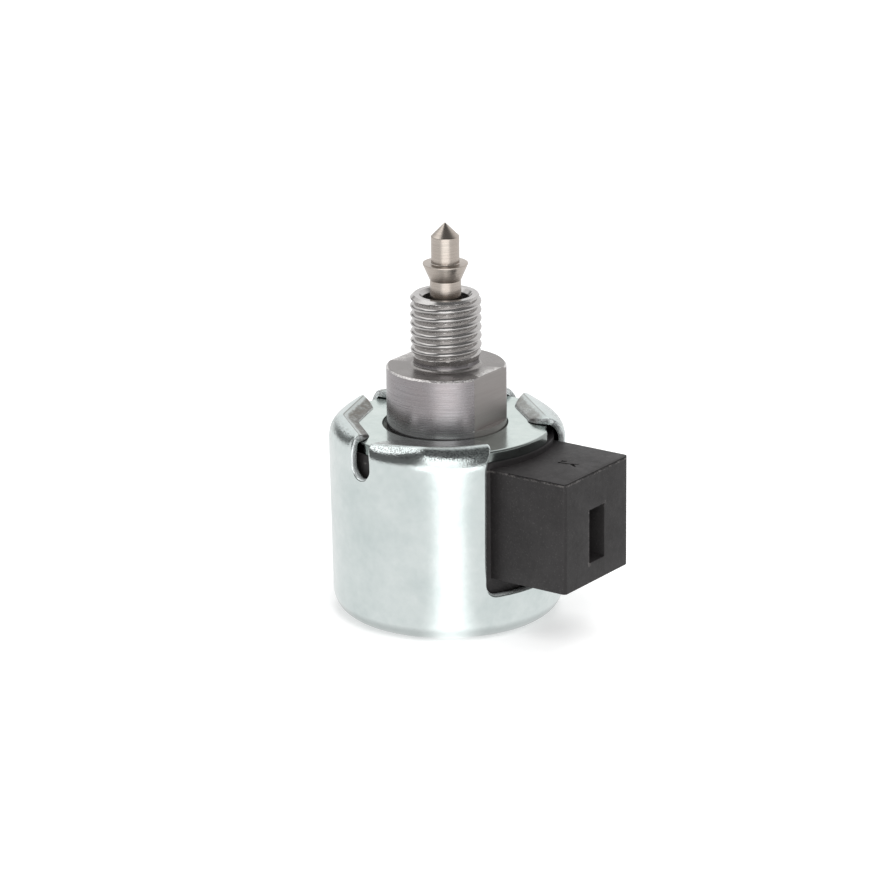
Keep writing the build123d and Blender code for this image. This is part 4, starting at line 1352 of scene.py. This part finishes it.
# For each finish of the inner pieces: colour, metallic, roughness, size of its clouds, and its CAD nodes
INNER_FINISHES = {
    "Bronze": ((0.6, 0.42, 0.24), 1.0, 0.4, 1500.0, ["guide_bush"]),
    "Tube brass": ((0.72, 0.58, 0.32), 1.0, 0.3, 600.0, ["guide_tube"]),
    "Soft iron": ((0.5, 0.5, 0.5), 1.0, 0.4, 700.0, ["pole_core", "plunger"]),
    "Shim brass": ((0.74, 0.6, 0.34), 1.0, 0.3, 800.0, ["pole_shim"]),
    "Nitrile": ((0.03, 0.03, 0.03), 0.0, 0.5, 2000.0, ["upper_seal", "lower_seal"]),
    "Bobbin nylon": ((0.75, 0.72, 0.63), 0.0, 0.5, 500.0, ["bobbin"]),
    "Enamelled copper": ((0.6, 0.27, 0.12), 0.9, 0.35, 2500.0,
                         ["coil_winding", "coil_finish_lead", "coil_start_lead"]),
    "Amber film": ((0.65, 0.45, 0.12), 0.0, 0.35, 400.0, ["coil_tape"]),
    "Tinned brass": ((0.68, 0.67, 0.62), 1.0, 0.35, 900.0, ["blade_terminal", "ground_tab"]),
    "Washer steel": ((0.4, 0.41, 0.43), 1.0, 0.35, 900.0, ["spring_washer"]),
}


class SOLENOID_OT_inside(Step, bpy.types.Operator):
    """Gives the pieces inside their own finishes"""

    bl_idname = "solenoid.inside"
    bl_label = "Inner pieces"

    def build(self, scene):
        for name, (colour, metallic, rough, grain, nodes) in INNER_FINISHES.items():
            material = hidden_finish(name, colour, metallic, rough, grain)
            for node in nodes:
                dress(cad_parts[node].data, material)


def around(azimuth, elevation, distance):
    """A place at a bearing round the object: azimuth 0 is on the -Y side, as for the camera."""
    turn, rise = math.radians(azimuth), math.radians(elevation)
    level = math.cos(rise)
    return Vector((math.sin(turn) * level, -math.cos(turn) * level, math.sin(rise))) * distance


def soft_lamp(name, place, size, watts):
    """A soft light that faces the object, sizes in metres. Metal sees the world's boxes instead."""
    data = bpy.data.lights.new(name, "AREA")
    data.shape = "RECTANGLE"
    data.size, data.size_y = size
    data.energy = watts
    lamp = linked(name, data)
    lamp.location = place
    lamp.rotation_euler = (Vector((0, 0, 0.02)) - place).to_track_quat("-Z", "Y").to_euler()
    lamp.visible_glossy = False


# Boxes that metal sees: bearing from the camera, elevation, half width and half height in degrees, softness
SKIRT = (-125, 11, 25, 8, 0.05)
LEFT_BOX = (-105, 54, 26, 16, 0.08)
FRONT_BOX = (-3, 20, 20, 17.5, 0.03)

# Soft lights: name, bearing from the camera, elevation, distance and sizes in metres, setting of its power
LAMPS = (
    ("Key", 14, 46, 0.75, (0.3, 0.5), "key_watts"),
    ("Left fill", -70, 30, 0.8, (0.5, 0.6), "fill_watts"),
    ("Top", 150, 72, 0.8, (0.6, 0.6), "top_watts"),
)


def softbox(way, view, box):
    """A mask of the directions that meet a flat box of light."""
    turn, elevation, half_width, half_height, soft = box
    bearing = view + turn
    front = around(bearing, elevation, 1)
    right = around(bearing + 90, 0, 1)
    depth = way.dot(front)
    mask = depth.span(0.0, 0.05)
    for direction, half in ((right, half_width), (front.cross(right), half_height)):
        reach = math.tan(math.radians(half))
        mask = mask * abs(way.dot(direction) / depth).span(reach + soft, reach - soft)
    return mask


class SOLENOID_OT_stage(Step, bpy.types.Operator):
    """Sets the floor, the soft light and the camera"""

    bl_idname = "solenoid.stage"
    bl_label = "Stage"

    def build(self, scene):
        settings = scene.solenoid_stage
        self.floor(settings)
        self.world(settings)
        for name, turn, elevation, distance, sides, key in LAMPS:
            place = around(settings.azimuth + turn, elevation, distance)
            soft_lamp(name, place, sides, getattr(settings, key))
        self.camera(settings)
        scene.view_settings.view_transform = "Standard"

    def floor(self, settings):
        """A wide white floor with faint shadows. Metal sees it with a bright band before the object."""
        made = bmesh.new()
        bmesh.ops.create_grid(made, x_segments=8, y_segments=8, size=3.0)
        for vertex in made.verts:
            vertex.co.z = -0.00002
        mesh = as_mesh(made, "floor")
        piece = linked("floor", mesh)
        look = Surface("Floor paper", metallic=0.0, specular=0.1)
        look.feed("Roughness", 0.9)
        mirrored = output(look.tree, "ShaderNodeLightPath", key="Is Glossy Ray")
        seen = output(look.tree, "ShaderNodeLightPath", key="Is Camera Ray")
        look.feed("Base Color", mirrored.mix(0.82, 0.0))
        facing = look.where.vector("NORMALIZE").dot(around(settings.azimuth + settings.band_turn, 0, 1))
        straight, spread = 62 * MM, 130 * MM
        across = facing + look.radius().span(straight, spread, 0.0, settings.band_spread)
        peak = across.span(math.cos(math.radians(settings.band_reach)), 1.0).math("POWER", 4.0)
        foot, open_floor = 12.8 * MM, 14.4 * MM
        away = look.radius().span(foot, open_floor, settings.foot_shade, 1.0)
        bright = (peak * settings.band_strength + settings.horizon) * away
        look.feed("Emission Color", (1, 1, 1, 1))
        look.feed("Emission Strength", mirrored * bright + seen * settings.floor_glow)
        dress(mesh, look.material)

    def world(self, settings):
        """White to the camera. Metal sees a dark room in front, white behind, and three boxes of light."""
        world = bpy.data.worlds.new("Studio")
        bpy.context.scene.world = world
        world.use_nodes = True
        tree = world.node_tree
        way = output(tree, "ShaderNodeTexCoord", key="Generated")
        view = settings.azimuth
        front = around(view, 0, 1)
        ahead = way.vector("MULTIPLY", (1, 1, 0)).vector("NORMALIZE").dot(front)
        far = way.dot(front)
        behind = far.span(-0.5, -0.1, 0.95, settings.ceiling)
        dark = far.span(-0.2, -0.05).mix(behind, settings.room)
        dark = ahead.span(-0.5, -0.1).mix(behind, dark)
        shade = way.part("Z").span(0.0, 0.03).mix(settings.horizon, dark)
        shade = softbox(way, view, SKIRT).mix(shade, settings.room * 1.5)
        shade = softbox(way, view, LEFT_BOX).mix(shade, settings.left_strength)
        again = output(tree, "ShaderNodeLightPath", key="Ray Depth").span(2.1, 2.9, 0.0, 0.6)
        shade = again.mix(shade, settings.ambient)
        shade = softbox(way, view, FRONT_BOX).mix(shade, settings.box_strength)
        lit = output(tree, "ShaderNodeLightPath", key="Is Glossy Ray").mix(settings.ambient, shade)
        seen = output(tree, "ShaderNodeLightPath", key="Is Camera Ray").mix(lit, 1.0)
        backdrop = next(item for item in tree.nodes if item.type == "BACKGROUND")
        feed(tree, backdrop.inputs["Color"], seen)
        feed(tree, backdrop.inputs["Strength"], 1.0)

    def camera(self, settings):
        """The camera, placed so that the origin falls where it does in the photograph."""
        roll = math.radians(settings.roll)
        back = around(settings.azimuth, settings.elevation, 1)
        right = around(settings.azimuth + 90, 0, 1)
        up = back.cross(right)
        right, up = right * math.cos(roll) + up * math.sin(roll), up * math.cos(roll) - right * math.sin(roll)
        half = settings.picture / 2
        pixel = settings.sensor / settings.picture / settings.focal * settings.distance * MM
        across = (settings.origin_x - half) * pixel
        down = (settings.origin_y - half) * pixel
        data = bpy.data.cameras.new("Camera")
        data.lens = settings.focal
        data.sensor_width = settings.sensor
        data.clip_end = 20.0
        eye = linked("Camera", data)
        place = back * settings.distance * MM - right * across + up * down
        eye.matrix_world = Matrix.Translation(place) @ Matrix((right, up, back)).transposed().to_4x4()
        bpy.context.scene.camera = eye


OPERATORS = (
    SOLENOID_OT_can,
    SOLENOID_OT_plate,
    SOLENOID_OT_body,
    SOLENOID_OT_needle,
    SOLENOID_OT_plug,
    SOLENOID_OT_spring,
    SOLENOID_OT_inside,
    SOLENOID_OT_stage,
)


class SOLENOID_PT_panel(bpy.types.Panel):
    """Lists the sizes, the finishes and the build steps"""

    bl_label = "Plunger solenoid"
    bl_idname = "SOLENOID_PT_panel"
    bl_space_type = "VIEW_3D"
    bl_region_type = "UI"
    bl_category = "Solenoid"

    def draw(self, context):
        layout = self.layout
        for name, group in GROUPS.items():
            box = layout.box()
            box.label(text=group.__name__)
            for key in group.__annotations__:
                box.prop(getattr(context.scene, name), key)
        for operator in OPERATORS:
            layout.operator(operator.bl_idname)


def register():
    """Registers the settings, the operators and the panel."""
    for name, group in GROUPS.items():
        bpy.utils.register_class(group)
        setattr(bpy.types.Scene, name, bpy.props.PointerProperty(type=group))
    for kind in (*OPERATORS, SOLENOID_PT_panel):
        bpy.utils.register_class(kind)


def unregister():
    """Takes them away again."""
    for kind in reversed((*OPERATORS, SOLENOID_PT_panel)):
        bpy.utils.unregister_class(kind)
    for name, group in reversed(GROUPS.items()):
        delattr(bpy.types.Scene, name)
        bpy.utils.unregister_class(group)


def main():
    """Builds every piece and the stage."""
    register()
    for operator in OPERATORS:
        family, name = operator.bl_idname.split(".")
        getattr(getattr(bpy.ops, family), name)()


if __name__ == "__main__":
    main()
